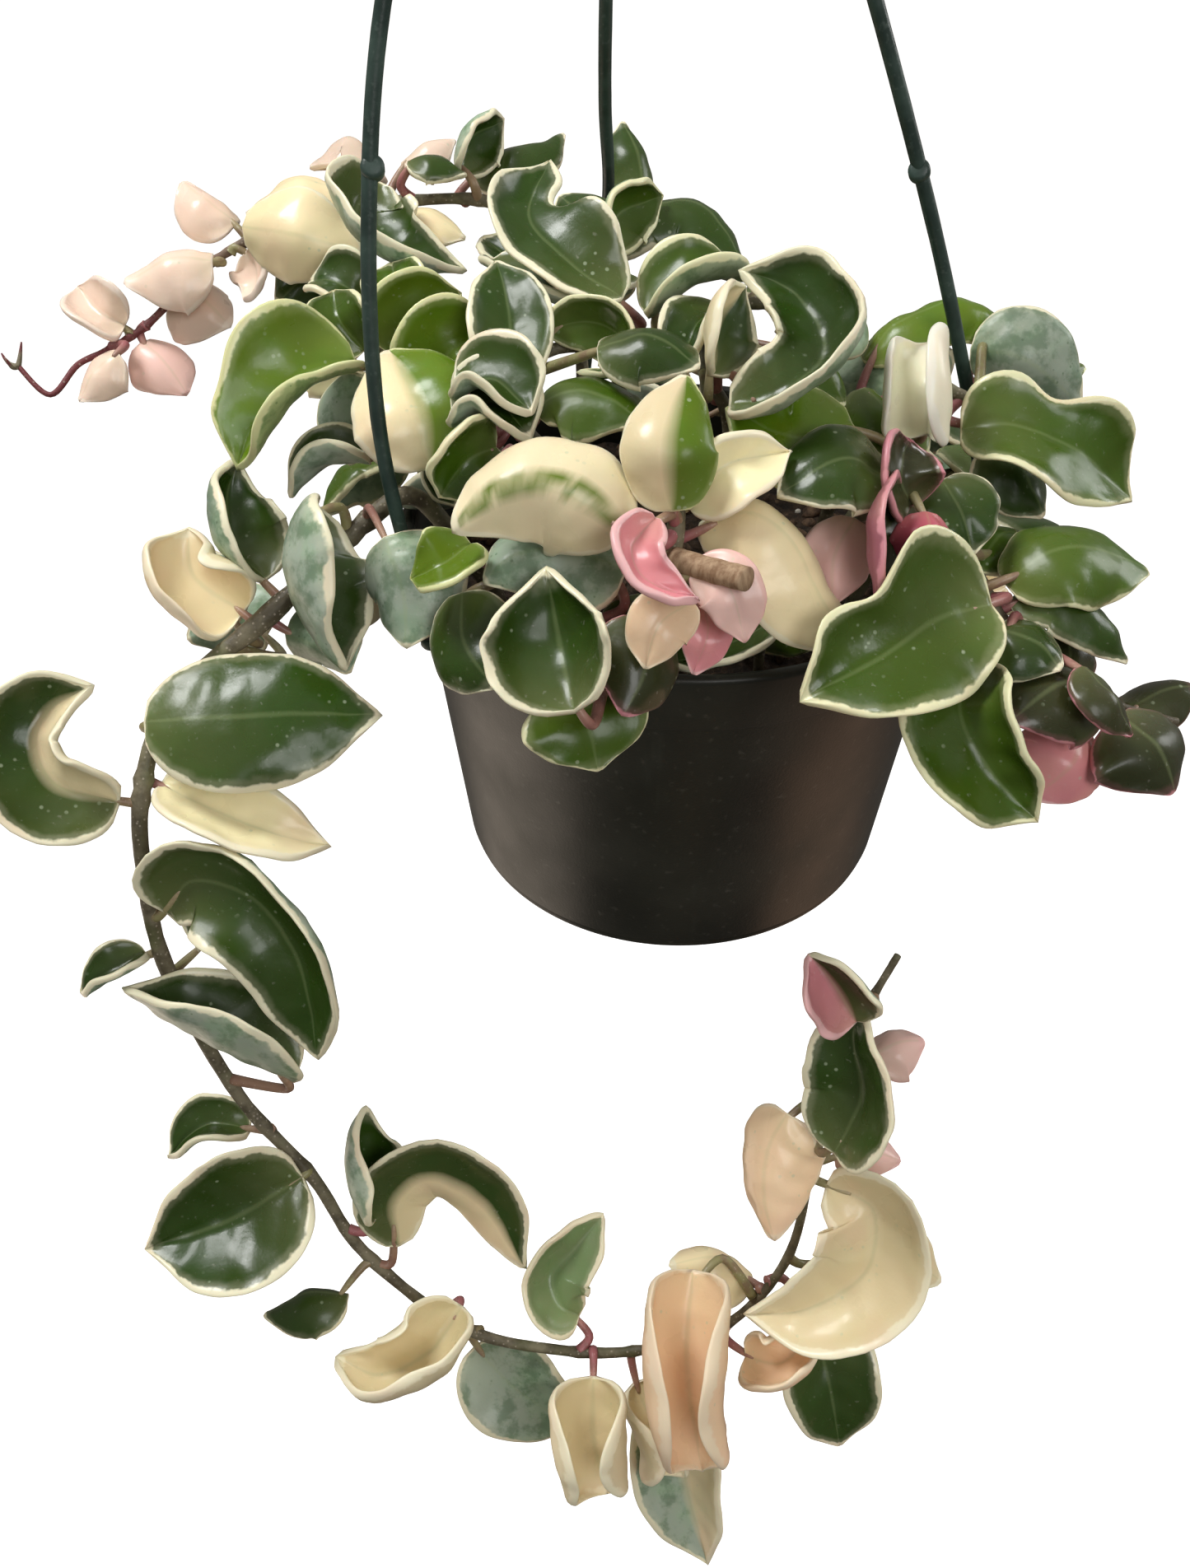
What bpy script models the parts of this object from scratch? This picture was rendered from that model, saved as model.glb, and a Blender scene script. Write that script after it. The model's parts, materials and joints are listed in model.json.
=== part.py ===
"""Hindu rope plant in a hanging pot. Metres, +Z up, origin where the hook takes the load."""
import math
import random

import bmesh
import bpy
from mathutils import Matrix, Vector
from mathutils.bvhtree import BVHTree

# Pot and hanger, millimetres from the centre of the rim
MM = 0.001
RIM_CENTRE = Vector((18.0, 3.0, -295.0))
RIM_RADIUS = 77.5
LIP_LOW_RADIUS = 75.2
LIP_HEIGHT = 17.5
WALL_TOP_RADIUS = 73.4
BASE_RADIUS = 64.0
POT_HEIGHT = 107.7
WALL = 1.6
GAP = 0.3
DRAIN_RADIUS = 4.5
DRAIN_COUNT = 8
SOIL_DROP = 13.0
LUG_ANGLES = {"left": -126.0, "back": -20.0, "right": 96.0}
STRAND_RADIUS = 1.7
NUB_RADIUS = 2.5
HUB_RADIUS = 9.0
HUB_TOP = -39.0
HUB_HEIGHT = 12.0
HOOK_ROD = 2.2
HOOK_INNER = 12.0

# Plant
VIEW_TILT = math.radians(41.57)
EYE_DISTANCE = 384.2
BLADE = 1.2
STATIONS = 40
SHOULDER = 0.22
POINT_START = 0.7
CLEARANCE = 0.3
PETIOLE = 1.0
EASE_STEPS = 16
FOOT_STEP = Vector((0.11, 0.07, 0.05))
SEED = 7


def view_axes():
    """Right, up and near as seen from the front, looking down on the plant."""
    up = Vector((0.0, math.sin(VIEW_TILT), math.cos(VIEW_TILT)))
    near = Vector((0.0, -math.cos(VIEW_TILT), math.sin(VIEW_TILT)))
    return Vector((1.0, 0.0, 0.0)), up, near


RIGHT, UP, NEAR = view_axes()
EYE = RIGHT * -24.6 + UP * -75.6 + NEAR * EYE_DISTANCE


def seen(right, up, near):
    """A point or direction of the plant given on the front view's axes."""
    return RIGHT * right + UP * up + NEAR * near


def placed(point):
    """Millimetres from the rim centre to metres from the hook."""
    return (Vector(point) + RIM_CENTRE) * MM


def leaf(midrib, face, width, fold=-15, curl=-20, skew=0.0, wave=0.0, twist=0.0, pinch=None):
    """One leaf: midrib points from base to tip, upper side towards face at mid leaf, millimetres and degrees.

    fold and curl turn each half blade away from the face (below zero, towards it); a pair gives left and right.
    pinch narrows one half blade: where along it, which half (1 or -1), how much.
    """
    pair = [value if isinstance(value, tuple) else (value, value) for value in (fold, curl)]
    return dict(midrib=[seen(*point) for point in midrib], face=seen(*face), width=width, fold=pair[0],
                curl=pair[1], skew=skew, wave=wave, twist=twist, pinch=pinch)


# Dry cut end of an old stem
DRY_STUB = ((-8, -24, 74), (-5, -28, 83), (7, -33, 93))


# Stems: course seen from the front, thickness at root and tip, leaves in opposite pairs along it
def trailing_vine_left():
    course = [(-50, -24, 22), (-58, -16, 30), (-69, -5, 40), (-80, -11, 42), (-104, -34, 42), (-127, -55, 44),
              (-134, -77, 46), (-136, -98, 38), (-134, -124, 25), (-121, -160, 5), (-103, -185, -5),
              (-90, -208, -12), (-63, -232, -19), (-35, -239, -20), (-11, -239, -20), (13, -231, -18),
              (29, -209, -8), (34, -180, 4), (36, -158, 12), (42, -139, 20), (47, -130, 24), (52, -119, 30)]
    leaves = [
        leaf([(-132, -61, 50), (-115, -60, 53), (-96, -59, 51), (-76, -59, 45)], (0, 0.25, 1), 35, 2, 24, 0, 1.2),
        leaf([(-139, -80, 47), (-153, -76, 50), (-158, -66, 50), (-154, -57, 50), (-144, -52, 50)], (0.3, 0.1, 1),
             30, (-5, -35), (-45, -75), -0.1),
        leaf([(-130, -76, 44), (-116, -82, 48), (-101, -88, 47), (-89, -91, 42)], (0.15, 0.5, 0.85), 22, -14, -30),
        leaf([(-131, -108, 36), (-123, -99, 40), (-107, -104, 42), (-97, -121, 38), (-95, -146, 28)],
             (-0.2, -0.25, 1), 35, (-10, -15), (-75, -40), -0.05, 1.0),
        leaf([(-104, -154, 13), (-117, -150, 19), (-131, -141, 25), (-144, -127, 31)], (0.25, 1, 0.42), 44,
             -32, -62),
        leaf([(-139, -119, 27), (-146, -123, 31), (-155, -129, 29)], (-0.3, 0.7, 0.7), 15, -20, -40),
        leaf([(-129, -119, 16), (-122, -114, 14), (-113, -117, 10)], (0, 0.8, 0.5), 22, -20, -90),
        leaf([(-105, -184, -2), (-124, -195, 0), (-147, -202, 4)], (-0.1, 0.15, 1), 43, -20, (-20, -45), 0, 1.5),
        leaf([(-121, -172, -7), (-133, -171, -7), (-144, -181, -9)], (0, 0.7, 0.7), 17, -15, -50),
        leaf([(-86, -197, -9), (-94, -184, -8), (-96, -172, -5), (-88, -165, -5)], (0.75, 0.1, 0.65), 36, -10,
             -120),
        leaf([(-80, -206, -12), (-81, -191, -9), (-70, -182, -8), (-56, -191, -11), (-44, -214, -15)],
             (0.1, 0.2, 1), 25, (-15, 25), (-30, 45), 0.0, 0.8),
        leaf([(-29, -229, -20), (-43, -229, -18), (-48, -219, -20), (-36, -210, -20), (-22, -200, -21)],
             (0.3, 0.3, 1), 27, (-20, -20), (-60, -40), 0, 1.5),
        leaf([(-94, -220, -10), (-105, -217, -8), (-118, -226, -11)], (0, 1, 0.3), 26, 20, 80),
        leaf([(-62, -223, -11), (-71, -235, -8), (-85, -240, -5), (-97, -235, -6)], (0.1, 0.55, 0.8), 40, -15,
             -115),
        leaf([(-60, -241, -27), (-46, -255, -29), (-29, -267, -32)], (-0.1, 0.3, -1), 30, 8, 15, 0, 1.0),
        leaf([(-25, -244, -14), (-25, -260, -13), (-21, -278, -15)], (-0.1, 0.05, 1), 52, -8, -145),
        leaf([(-13, -249, -21), (-8, -263, -21), (-9, -278, -24)], (0.45, 0.0, 0.9), 38, -8, -135),
        leaf([(3, -212, -9), (1, -237, -5), (6, -270, -12)], (-0.05, 0, 1), 56, (-14, -8), (-140, -135)),
        leaf([(20, -217, -14), (10, -204, -9), (-4, -211, -9)], (-0.1, 0.8, 0.6), 28, 20, 70),
        leaf([(0, -250, -27), (2, -280, -29), (9, -307, -31)], (0.1, 0.1, -1), 32, 18, 40),
        leaf([(38, -184, 5), (50, -190, 8), (49, -208, 4), (33, -219, 2), (16, -221, 0)], (0, 0.1, 1), 36,
             (-20, -15), (-45, -35), 0.0, 1.0),
        leaf([(27, -164, 8), (14, -169, 12), (13, -184, 11), (24, -199, 6)], (-0.5, 0.1, 0.85), 40, 20, 75),
        leaf([(37, -227, -16), (42, -246, -15), (46, -267, -20)], (0.15, -0.05, 1), 29, -12, -22, 0, 1.0),
        leaf([(18, -238, -13), (28, -238, -9), (38, -228, -9)], (0.1, 0.6, 0.8), 28, -15, -100),
        leaf([(50, -210, -11), (61, -207, -9), (73, -217, -13)], (0, 0.4, 0.9), 22, 10, 50, 0, 2.5),
        leaf([(38, -172, 19), (45, -166, 22), (52, -157, 23), (46, -146, 25), (40, -140, 26), (44, -132, 27)],
             (-0.75, 0.25, 0.6), 38, (-15, -10), (-50, -40), 0.1, 1.5),
        leaf([(43, -137, 22), (36, -126, 25), (30, -119, 26)], (-0.4, 0.3, 0.9), 26, -20, -70, 0, 1.5),
        leaf([(49, -148, 14), (56, -139, 17), (63, -144, 13)], (0.2, 0.7, 0.7), 24, 20, 75),
        leaf([(41, -178, 0), (50, -174, 1), (60, -180, -3)], (0.2, 0.4, 0.9), 22, 20, 60),
        leaf([(-106, -26, 40), (-117, -17, 39), (-119, -4, 37), (-113, 5, 37)], (0.7, 0.1, 0.7), 34, -15,
             (-100, -85)),
        leaf([(-92, -8, 46), (-102, -16, 48), (-103, -31, 50), (-93, -44, 52), (-83, -49, 55)], (0.95, 0.15, 0.2),
             50, -12, (-100, -85)),
        leaf([(-76, -15, 40), (-67, -30, 47), (-70, -47, 41)], (0.1, 0, -1), 42, -8, -75),
        leaf([(-112, -33, 36), (-123, -24, 40), (-125, -12, 38)], (0.65, -0.2, 0.8), 40, -10, -125),
        leaf([(-116, -35, 26), (-133, -27, 27), (-133, -12, 25)], (0.8, -0.1, -0.4), 34, -10, -80),
        leaf([(-101, -38, 37), (-90, -41, 41), (-85, -48, 37)], (0, 0.5, -0.8), 24, -15, -60),
        leaf([(-107, -38, 32), (-116, -35, 33), (-128, -39, 29)], (0, 0.8, -0.5), 22, -15, -50),
    ]
    return course, (2.6, 1.1), leaves


def back_left_vine():
    course = [(-28, 33, -32), (-30, 60, -20), (-43, 79, -6), (-55, 86, -4), (-76, 87, -6), (-99, 86, -10),
              (-123, 78, -12), (-138, 69, -14), (-152, 55, -14), (-163, 47, -12), (-171, 43, -12),
              (-178, 34, -10), (-187, 42, -10)]
    leaves = [
        leaf([(-59, 97, -12), (-48, 102, -8), (-33, 109, -14)], (-0.2, 0.9, 0.4), 28, 15, 95),
        leaf([(-62, 93, -3), (-60, 103, -4), (-50, 111, -8)], (0.8, -0.3, 0.5), 22, -15, -80),
        leaf([(-79, 99, -11), (-72, 107, -9), (-64, 107, -13)], (-0.1, 0.8, 0.6), 24, 15, 90),
        leaf([(-76, 95, -1), (-69, 98, 1), (-60, 92, -2)], (0, 0.9, 0.4), 20, 20, 70),
        leaf([(-84, 96, -12), (-94, 107, -12), (-106, 100, -16)], (-0.1, 0.9, 0.3), 24, 15, 70),
        leaf([(-122, 84, -9), (-108, 91, -3), (-89, 87, -4)], (0, 0.7, 0.75), 34, 10, 65),
        leaf([(-122, 79, -5), (-107, 77, 2), (-88, 71, -3)], (0.1, 0.1, 1), 30, 10, 50),
        leaf([(-127, 84, -15), (-135, 90, -13), (-143, 97, -17)], (0.3, 0.5, 0.8), 22, 15, 60),
        leaf([(-123, 75, -12), (-111, 74, -11), (-111, 63, -11), (-124, 61, -11)], (-0.9, 0.2, 0.5), 20, -5, -40),
        leaf([(-132, 71, -9), (-143, 73, -4), (-157, 65, -10)], (-0.1, 0.4, 0.9), 32, 12, 75),
        leaf([(-140, 64, -9), (-134, 59, -5), (-127, 53, -10)], (0.2, 0.3, 0.9), 30, 12, 70),
        leaf([(-158, 54, -13), (-164, 57, -11), (-172, 66, -15)], (-0.3, 0.5, 0.8), 20, -15, -60),
        leaf([(-158, 45, -8), (-164, 43, -6), (-170, 32, -10)], (-0.3, 0.2, 0.9), 22, 15, 80),
        leaf([(-154, 50, -15), (-146, 43, -13), (-141, 35, -15)], (0.3, 0.2, 0.9), 22, 12, 55),
        leaf([(-84, 89, 2), (-89, 78, 6), (-79, 65, 9), (-59, 63, 7)], (0.5, 0.5, 0.7), 33, (-15, -10),
             (-65, -70)),
        leaf([(-79, 81, -1), (-70, 80, 3), (-60, 73, 2)], (0.1, 0.7, 0.7), 24, 10, 95),
        leaf([(-100, 82, -14), (-106, 72, -16), (-116, 62, -18)], (-0.1, -0.1, 1), 24, 12, 40),
    ]
    return course, (2.2, 0.8), leaves


def left_mound_stem():
    course = [(-44, 2, 14), (-52, 8, 42), (-64, 12, 44), (-71, 20, 36), (-78, 34, 22), (-82, 46, 14)]
    leaves = [
        leaf([(-84, 29, 36), (-96, 23, 42), (-105, 12, 44), (-112, 1, 42)], (-0.05, 0.35, 1), 34, (-22, -15),
             (-85, -45), 0.05, 2.5, 0, (0.3, 1, 0.3)),
        leaf([(-63, -2, 57), (-65, 11, 61), (-74, 28, 50)], (0.1, 0.1, 1), 34, -22, 70),
        leaf([(-76, 33, 30), (-69, 42, 33), (-58, 48, 32)], (0.1, -0.2, 1), 24, -10, -35),
        leaf([(-64, 21, 44), (-59, 29, 48), (-50, 32, 45)], (0.1, -0.1, 1), 26, -8, -40),
        leaf([(-73, 46, 17), (-76, 54, 20), (-78, 61, 17)], (0, -0.1, 1), 20, -12, -40),
        leaf([(-87, 53, 11), (-93, 57, 13), (-101, 59, 9)], (0, 0.4, 0.9), 20, -12, -50),
        leaf([(-85, 38, 17), (-91, 45, 20), (-93, 54, 17)], (-0.2, 0.1, 1), 19, -12, -45),
        leaf([(-88, 30, 22), (-95, 36, 24), (-104, 38, 18)], (-0.2, 0.5, 0.8), 24, 12, 70),
        leaf([(-80, 4, 38), (-91, 4, 38), (-101, -4, 36)], (-0.1, 0.8, 0.5), 20, -15, -70),
        leaf([(-78, 22, 40), (-84, 14, 38), (-86, 4, 34)], (-0.2, 0.2, -0.9), 22, -12, -50),
    ]
    return course, (2.2, 1.6), leaves


def back_mound_stem():
    course = [(-12, 6, -20), (-18, 32, 6), (-24, 50, 14), (-26, 62, 10), (-20, 75, 2), (-12, 88, -6)]
    leaves = [
        leaf([(-18, 42, 44), (-30, 50, 44), (-41, 64, 38), (-36, 83, 27)], (0.3, 0.1, 1), 27, -8, -38, 0.12, 2.5,
             0, (0.72, -1, 0.45)),
        leaf([(-22, 63, 22), (-28, 72, 20), (-34, 80, 14)], (-0.2, 0.2, 0.95), 22, 12, 45),
        leaf([(-11, 90, -8), (-13, 101, -8), (-17, 112, -12)], (0.5, 0, 0.9), 22, 15, 80),
        leaf([(-20, 63, 16), (-14, 74, 17), (-1, 77, 17), (9, 69, 19), (15, 57, 20)], (0, 0.75, 0.7), 26, 10, 70),
        leaf([(-21, 66, 12), (-20, 77, 10), (-6, 84, 5)], (0.7, -0.3, 0.7), 22, -10, -70),
        leaf([(-51, 60, 22), (-35, 46, 36), (-16, 38, 43)], (0.2, 0.6, 0.8), 24, -10, -60),
        leaf([(-30, 56, 10), (-44, 62, 8), (-56, 74, 2)], (-0.2, 0.7, 0.7), 24, -12, -50),
    ]
    return course, (2.1, 1.5), leaves


def front_mound_stem():
    course = [(-28, -8, 26), (-37, 4, 44), (-44, 13, 50), (-38, 27, 48), (-27, 30, 46), (-15, 28, 46)]
    leaves = [
        leaf([(-45, 19, 49), (-45, 35, 47), (-49, 54, 39)], (0.12, 0, 1), 21, -8, -22),
        leaf([(-37, 8, 64), (-41, 20, 66), (-32, 26, 68), (-21, 18, 71), (-14, 4, 72)], (0, 0.55, 0.9), 28, 8, 60),
        leaf([(-36, 33, 50), (-21, 34, 55), (-9, 25, 60), (-14, 14, 62), (-26, 15, 60)], (-0.5, -0.6, 0.7), 22,
             -5, -30),
        leaf([(-57, 16, 55), (-48, 18, 59), (-39, 9, 63)], (0, 0.65, 0.8), 24, -12, -60),
        leaf([(-57, 8, 61), (-48, 11, 65), (-39, 2, 67)], (0, 0.65, 0.8), 24, -12, -60),
        leaf([(-47, 1, 66), (-55, -2, 69), (-60, -11, 68)], (0, 0.4, 0.95), 22, -12, -60),
        leaf([(-54, 0, 60), (-60, -6, 58), (-58, -16, 58)], (-0.4, 0.2, 0.9), 20, -12, -70),
        leaf([(-24, 24, 62), (-12, 26, 66), (-1, 18, 68)], (0.1, 0.5, 0.9), 24, 12, 60),
    ]
    return course, (2.0, 1.4), leaves


def right_mound_stem():
    course = [(10, -2, 20), (8, 12, 42), (2, 24, 46), (4, 38, 40), (16, 44, 36), (28, 40, 36)]
    leaves = [
        leaf([(6, 11, 64), (19, 13, 68), (28, 24, 64), (22, 38, 58), (9, 45, 56)], (-0.4, 0.25, 1), 30, (-15, -10),
             (-60, -70), 0.1, 2.5),
        leaf([(2, 19, 60), (1, 31, 60), (10, 41, 58)], (0.75, -0.1, 0.6), 26, -15, -70),
        leaf([(32, 30, 42), (36, 40, 43), (29, 51, 37)], (-0.2, 0.1, -1), 30, -8, -60),
        leaf([(6, 38, 50), (0, 31, 56), (-5, 19, 60)], (-0.4, 0.3, 0.9), 20, -15, -60),
        leaf([(-12, 38, 44), (1, 46, 47), (13, 48, 41)], (0, 0.8, 0.6), 26, -10, -70),
        leaf([(-14, 50, 34), (-24, 52, 38), (-36, 46, 38)], (0, 0.7, 0.7), 22, 12, 60),
        leaf([(22, 28, 52), (30, 22, 58), (33, 12, 58)], (0.5, 0.3, 0.8), 24, 12, 70),
        leaf([(14, 46, 36), (26, 56, 30), (36, 54, 24)], (0.1, 0.8, 0.6), 24, 10, 70),
    ]
    return course, (2.0, 1.4), leaves


def front_cream_stem():
    course = [(-10, -36, 36), (-9, -34, 56), (-8, -28, 74), (-7, -20, 80), (-7, -15, 80)]
    leaves = [
        leaf([(-18, -23, 87), (-26, -14, 93), (-36, -10, 95), (-46, -13, 92), (-55, -22, 86)], (0, 0.15, 1), 35,
             (42, -4), (38, 72), -0.05, 1.0),
        leaf([(-8, -17, 84), (-9, -4, 92), (-5, 12, 84)], (0, 0, 1), 23, -5, 70),
        leaf([(-5, -17, 88), (3, -10, 93), (17, -5, 87)], (0.05, -0.3, 1), 17, -22, -25, 0.25),
        leaf([(-3, -22, 85), (7, -19, 90), (17, -25, 90), (23, -36, 87), (32, -48, 80)], (0.2, 0.35, 0.95), 25,
             (10, 5), (90, 35), 0.25),
        leaf([(-12, -20, 90), (-17, -27, 95), (-14, -34, 97), (-3, -38, 95)], (0.4, 0.2, 1), 14, -15, -60),
        leaf([(-4, -31, 91), (3, -35, 95), (7, -46, 90)], (-0.1, 0.1, 1), 14, -10, 40),
        leaf([(-4, -37, 86), (-11, -42, 89), (-14, -51, 86)], (0.3, 0.2, 0.9), 14, -10, 40),
        leaf([(-2, -36, 88), (-1, -44, 91), (-4, -52, 87)], (0.2, 0.1, 1), 11, -10, 40),
    ]
    return course, (2.2, 1.8), leaves


def front_green_stem():
    course = [(-36, -36, 34), (-44, -26, 56), (-46, -26, 66), (-38, -32, 70), (-29, -40, 68), (-23, -55, 70)]
    leaves = [
        leaf([(-29, -60, 88), (-31, -53, 80), (-33, -42, 77), (-35, -29, 85)], (-0.25, 0.1, 1), 40, -14, (-55, -75),
             0.0, 1.5),
        leaf([(-18, -30, 80), (-30, -23, 84), (-42, -24, 84), (-49, -32, 79)], (0, 0.1, -1), 32, -10, -70),
        leaf([(-52, -23, 74), (-58, -28, 79), (-65, -31, 76)], (-0.1, 0.5, 0.9), 17, -15, -20),
        leaf([(-54, -33, 72), (-55, -44, 76), (-46, -55, 79)], (-0.4, 0.05, 0.95), 26, 8, 45),
        leaf([(-15, -39, 82), (-13, -50, 86), (-19, -61, 84)], (0.15, 0.05, 1), 28, 10, 55),
        leaf([(-18, -35, 80), (-14, -40, 85), (-13, -49, 82)], (0.3, 0.2, 0.9), 22, 10, 60),
        leaf([(-31, -56, 86), (-27, -63, 90), (-24, -73, 87)], (0, 0.2, 1), 27, -8, 20),
    ]
    return course, (2.0, 1.4), leaves


def front_low_stem():
    course = [(16, -44, 38), (15, -38, 42), (14, -35, 44)]
    leaves = [
        leaf([(18, -37, 46), (6, -43, 48), (-8, -47, 47)], (0, 0.6, 0.8), 18, -12, -40),
        leaf([(13, -36, 46), (20, -36, 49), (29, -43, 46)], (0, 0.6, 0.8), 18, 12, 50),
        leaf([(12, -33, 44), (2, -30, 46), (-8, -34, 46)], (0, 0.6, 0.8), 18, 12, 50),
    ]
    return course, (1.6, 1.2), leaves


def right_upper_stem():
    course = [(34, -8, 10), (40, 8, 34), (48, 18, 42), (58, 21, 44), (67, 18, 42), (76, 16, 38)]
    leaves = [
        leaf([(63, 9, 49), (74, 9, 54), (90, 3, 52), (106, -7, 43)], (0, 0.4, 1), 30, (-10, -5), (-40, -15), 0.0,
             2.5, 0, (0.4, 1, 0.35)),
        leaf([(43, 31, 31), (54, 41, 34), (70, 45, 32), (91, 34, 24)], (0, 0.75, 0.7), 22, 10, 75),
        leaf([(39, 14, 44), (46, 27, 48), (64, 31, 38)], (-0.2, 0.1, -1), 36, -8, -55),
        leaf([(54, 7, 53), (50, 17, 56), (55, 29, 52)], (-0.9, 0.1, 0.3), 34, -10, -130),
        leaf([(70, 34, 32), (82, 30, 37), (99, 21, 28)], (0, 0.5, -0.9), 26, -10, -40),
        leaf([(80, 35, 24), (90, 34, 28), (102, 32, 22)], (0, 0.9, 0.4), 20, 12, 60),
        leaf([(50, 13, 52), (42, 6, 57), (38, -4, 57)], (-0.4, 0.3, 0.9), 24, 12, 70),
        leaf([(72, 8, 40), (80, 0, 42), (86, -10, 38)], (0.2, 0.3, 0.9), 24, 10, 50),
    ]
    return course, (2.0, 1.5), leaves


def right_middle_stem():
    course = [(26, -30, 18), (34, -20, 46), (40, -10, 60), (44, -6, 66)]
    leaves = [
        leaf([(41, -8, 73), (29, -5, 79), (15, -13, 79)], (0, 0.4, 0.95), 24, -5, 45, 0, 1.0),
        leaf([(35, 8, 60), (20, 3, 66), (5, 10, 65)], (0, 0.35, 1), 27, -8, 25, 0, 2.5),
        leaf([(39, 18, 53), (46, 12, 59), (44, -2, 61)], (0.5, 0.2, 0.85), 26, 10, 75),
        leaf([(46, -13, 69), (42, -7, 73), (46, 2, 69)], (0.2, 0.1, 1), 20, -10, -60),
        leaf([(44, -13, 74), (35, -24, 81), (39, -41, 83)], (0.6, 0.05, 0.85), 32, -10, (-50, -80)),
        leaf([(33, -17, 74), (25, -25, 78), (28, -36, 75)], (0.2, -0.2, -1), 26, -10, -80),
        leaf([(49, -15, 71), (50, -21, 75), (50, -30, 72)], (0.2, 0, 1), 21, 10, 80),
    ]
    return course, (2.0, 1.5), leaves


def right_vine():
    course = [(44, -28, 14), (50, -16, 40), (56, -14, 56), (63, -26, 60), (70, -38, 59), (82, -48, 57),
              (93, -55, 55), (104, -59, 53), (114, -61, 50)]
    leaves = [
        leaf([(63, -36, 75), (50, -40, 80), (36, -49, 84), (19, -58, 86)], (-0.05, 0.25, 1), 37, -8, (10, -60),
             0.1, 3.5, 0, (0.5, -1, 0.28)),
        leaf([(70, -30, 62), (79, -23, 66), (92, -22, 62), (106, -26, 54)], (0, 0.55, 0.9), 28, 5, 48, 0, 1.5),
        leaf([(70, -35, 65), (79, -32, 69), (90, -38, 67), (98, -48, 61)], (0.1, 0.7, 0.75), 20, 15, 50),
        leaf([(61, -49, 71), (56, -60, 76), (62, -73, 78), (73, -84, 76)], (0, 0.1, 1), 30, (-25, -5), (-80, -30),
             0.0),
        leaf([(68, -41, 63), (75, -40, 68), (81, -50, 67)], (0.2, 0.4, 0.9), 26, 10, 65),
        leaf([(91, -52, 62), (79, -51, 71), (68, -62, 71)], (0, 0.55, 0.85), 34, 10, 85),
        leaf([(88, -62, 58), (84, -71, 64), (76, -79, 60)], (0.1, 0.05, 1), 28, 8, 55),
        leaf([(98, -60, 55), (104, -67, 61), (110, -78, 57)], (0.2, 0.1, 1), 32, 8, 40, 0, 1.5),
        leaf([(103, -58, 51), (108, -48, 55), (119, -53, 49)], (0.2, 0.7, 0.7), 26, 12, 90),
        leaf([(87, -51, 50), (93, -45, 53), (88, -38, 48)], (0, 0, 1), 20, 10, 60),
        leaf([(86, -49, 65), (91, -55, 72), (97, -65, 67)], (0.6, 0.3, 0.75), 16, 12, 60),
        leaf([(55, -6, 63), (58, -15, 69), (61, -24, 67)], (0, 0.1, 1), 20, -15, 50),
        leaf([(77, -18, 55), (70, -11, 62), (61, -28, 66)], (0, 0.6, 0.8), 22, 10, 60),
    ]
    return course, (2.2, 1.4), leaves


LEAFY_STEMS = {
    "front_cream_stem": front_cream_stem,
    "front_green_stem": front_green_stem,
    "right_vine": right_vine,
    "trailing_vine_left": trailing_vine_left,
    "right_middle_stem": right_middle_stem,
    "right_upper_stem": right_upper_stem,
    "left_mound_stem": left_mound_stem,
    "back_mound_stem": back_mound_stem,
    "front_mound_stem": front_mound_stem,
    "right_mound_stem": right_mound_stem,
    "back_left_vine": back_left_vine,
    "front_low_stem": front_low_stem,
}


# Blade surface
def curve_point(points, share):
    """Point on the smooth curve through the points, share from 0 to 1."""
    spot = share * (len(points) - 1)
    i = min(int(spot), len(points) - 2)
    t = spot - i
    p1, p2 = points[i], points[i + 1]
    p0 = points[i - 1] if i > 0 else 2 * p1 - p2
    p3 = points[i + 2] if i + 2 < len(points) else 2 * p2 - p1
    return 0.5 * (2 * p1 + (p2 - p0) * t + (2 * p0 - 5 * p1 + 4 * p2 - p3) * t * t
                  + (3 * p1 - p0 - 3 * p2 + p3) * t ** 3)


def blade_frames(spec):
    """Even stations along the midrib: point, direction ahead and upper-side direction, carried from mid leaf."""
    raw = [curve_point(spec["midrib"], k / 80.0) for k in range(81)]
    lengths = [0.0]
    for a, b in zip(raw, raw[1:]):
        lengths.append(lengths[-1] + (b - a).length)
    points, j = [], 0
    for k in range(STATIONS + 1):
        goal = lengths[-1] * k / STATIONS
        while j < 79 and lengths[j + 1] < goal:
            j += 1
        points.append(raw[j].lerp(raw[j + 1], min(1.0, (goal - lengths[j]) / (lengths[j + 1] - lengths[j]))))
    ahead = [(points[min(k + 1, STATIONS)] - points[max(k - 1, 0)]).normalized() for k in range(STATIONS + 1)]
    middle = STATIONS // 2
    out = [None] * (STATIONS + 1)
    out[middle] = (spec["face"] - ahead[middle] * spec["face"].dot(ahead[middle])).normalized()
    for k in range(middle + 1, STATIONS + 1):
        out[k] = (out[k - 1] - ahead[k] * out[k - 1].dot(ahead[k])).normalized()
    for k in range(middle - 1, -1, -1):
        out[k] = (out[k + 1] - ahead[k] * out[k + 1].dot(ahead[k])).normalized()
    return points, ahead, out, lengths[-1]


def half_width(spec, u, hand):
    """Width of one half blade at u: round-shouldered near the base, drawn out to a point at the tip."""
    shape = math.sin(math.pi * min(1.0, u ** 0.8)) ** 0.66
    point = max(0.0, min(1.0, (u - POINT_START) / 0.2))
    shape += (3.0 * (1.0 - u) - shape) * point * point * (3.0 - 2.0 * point)
    if spec["pinch"] and spec["pinch"][1] == hand:
        shape *= 1.0 - spec["pinch"][2] * math.exp(-((u - spec["pinch"][0]) / 0.13) ** 2)
    return 0.53 * spec["width"] * shape * (1.0 - hand * spec["skew"])


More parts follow.
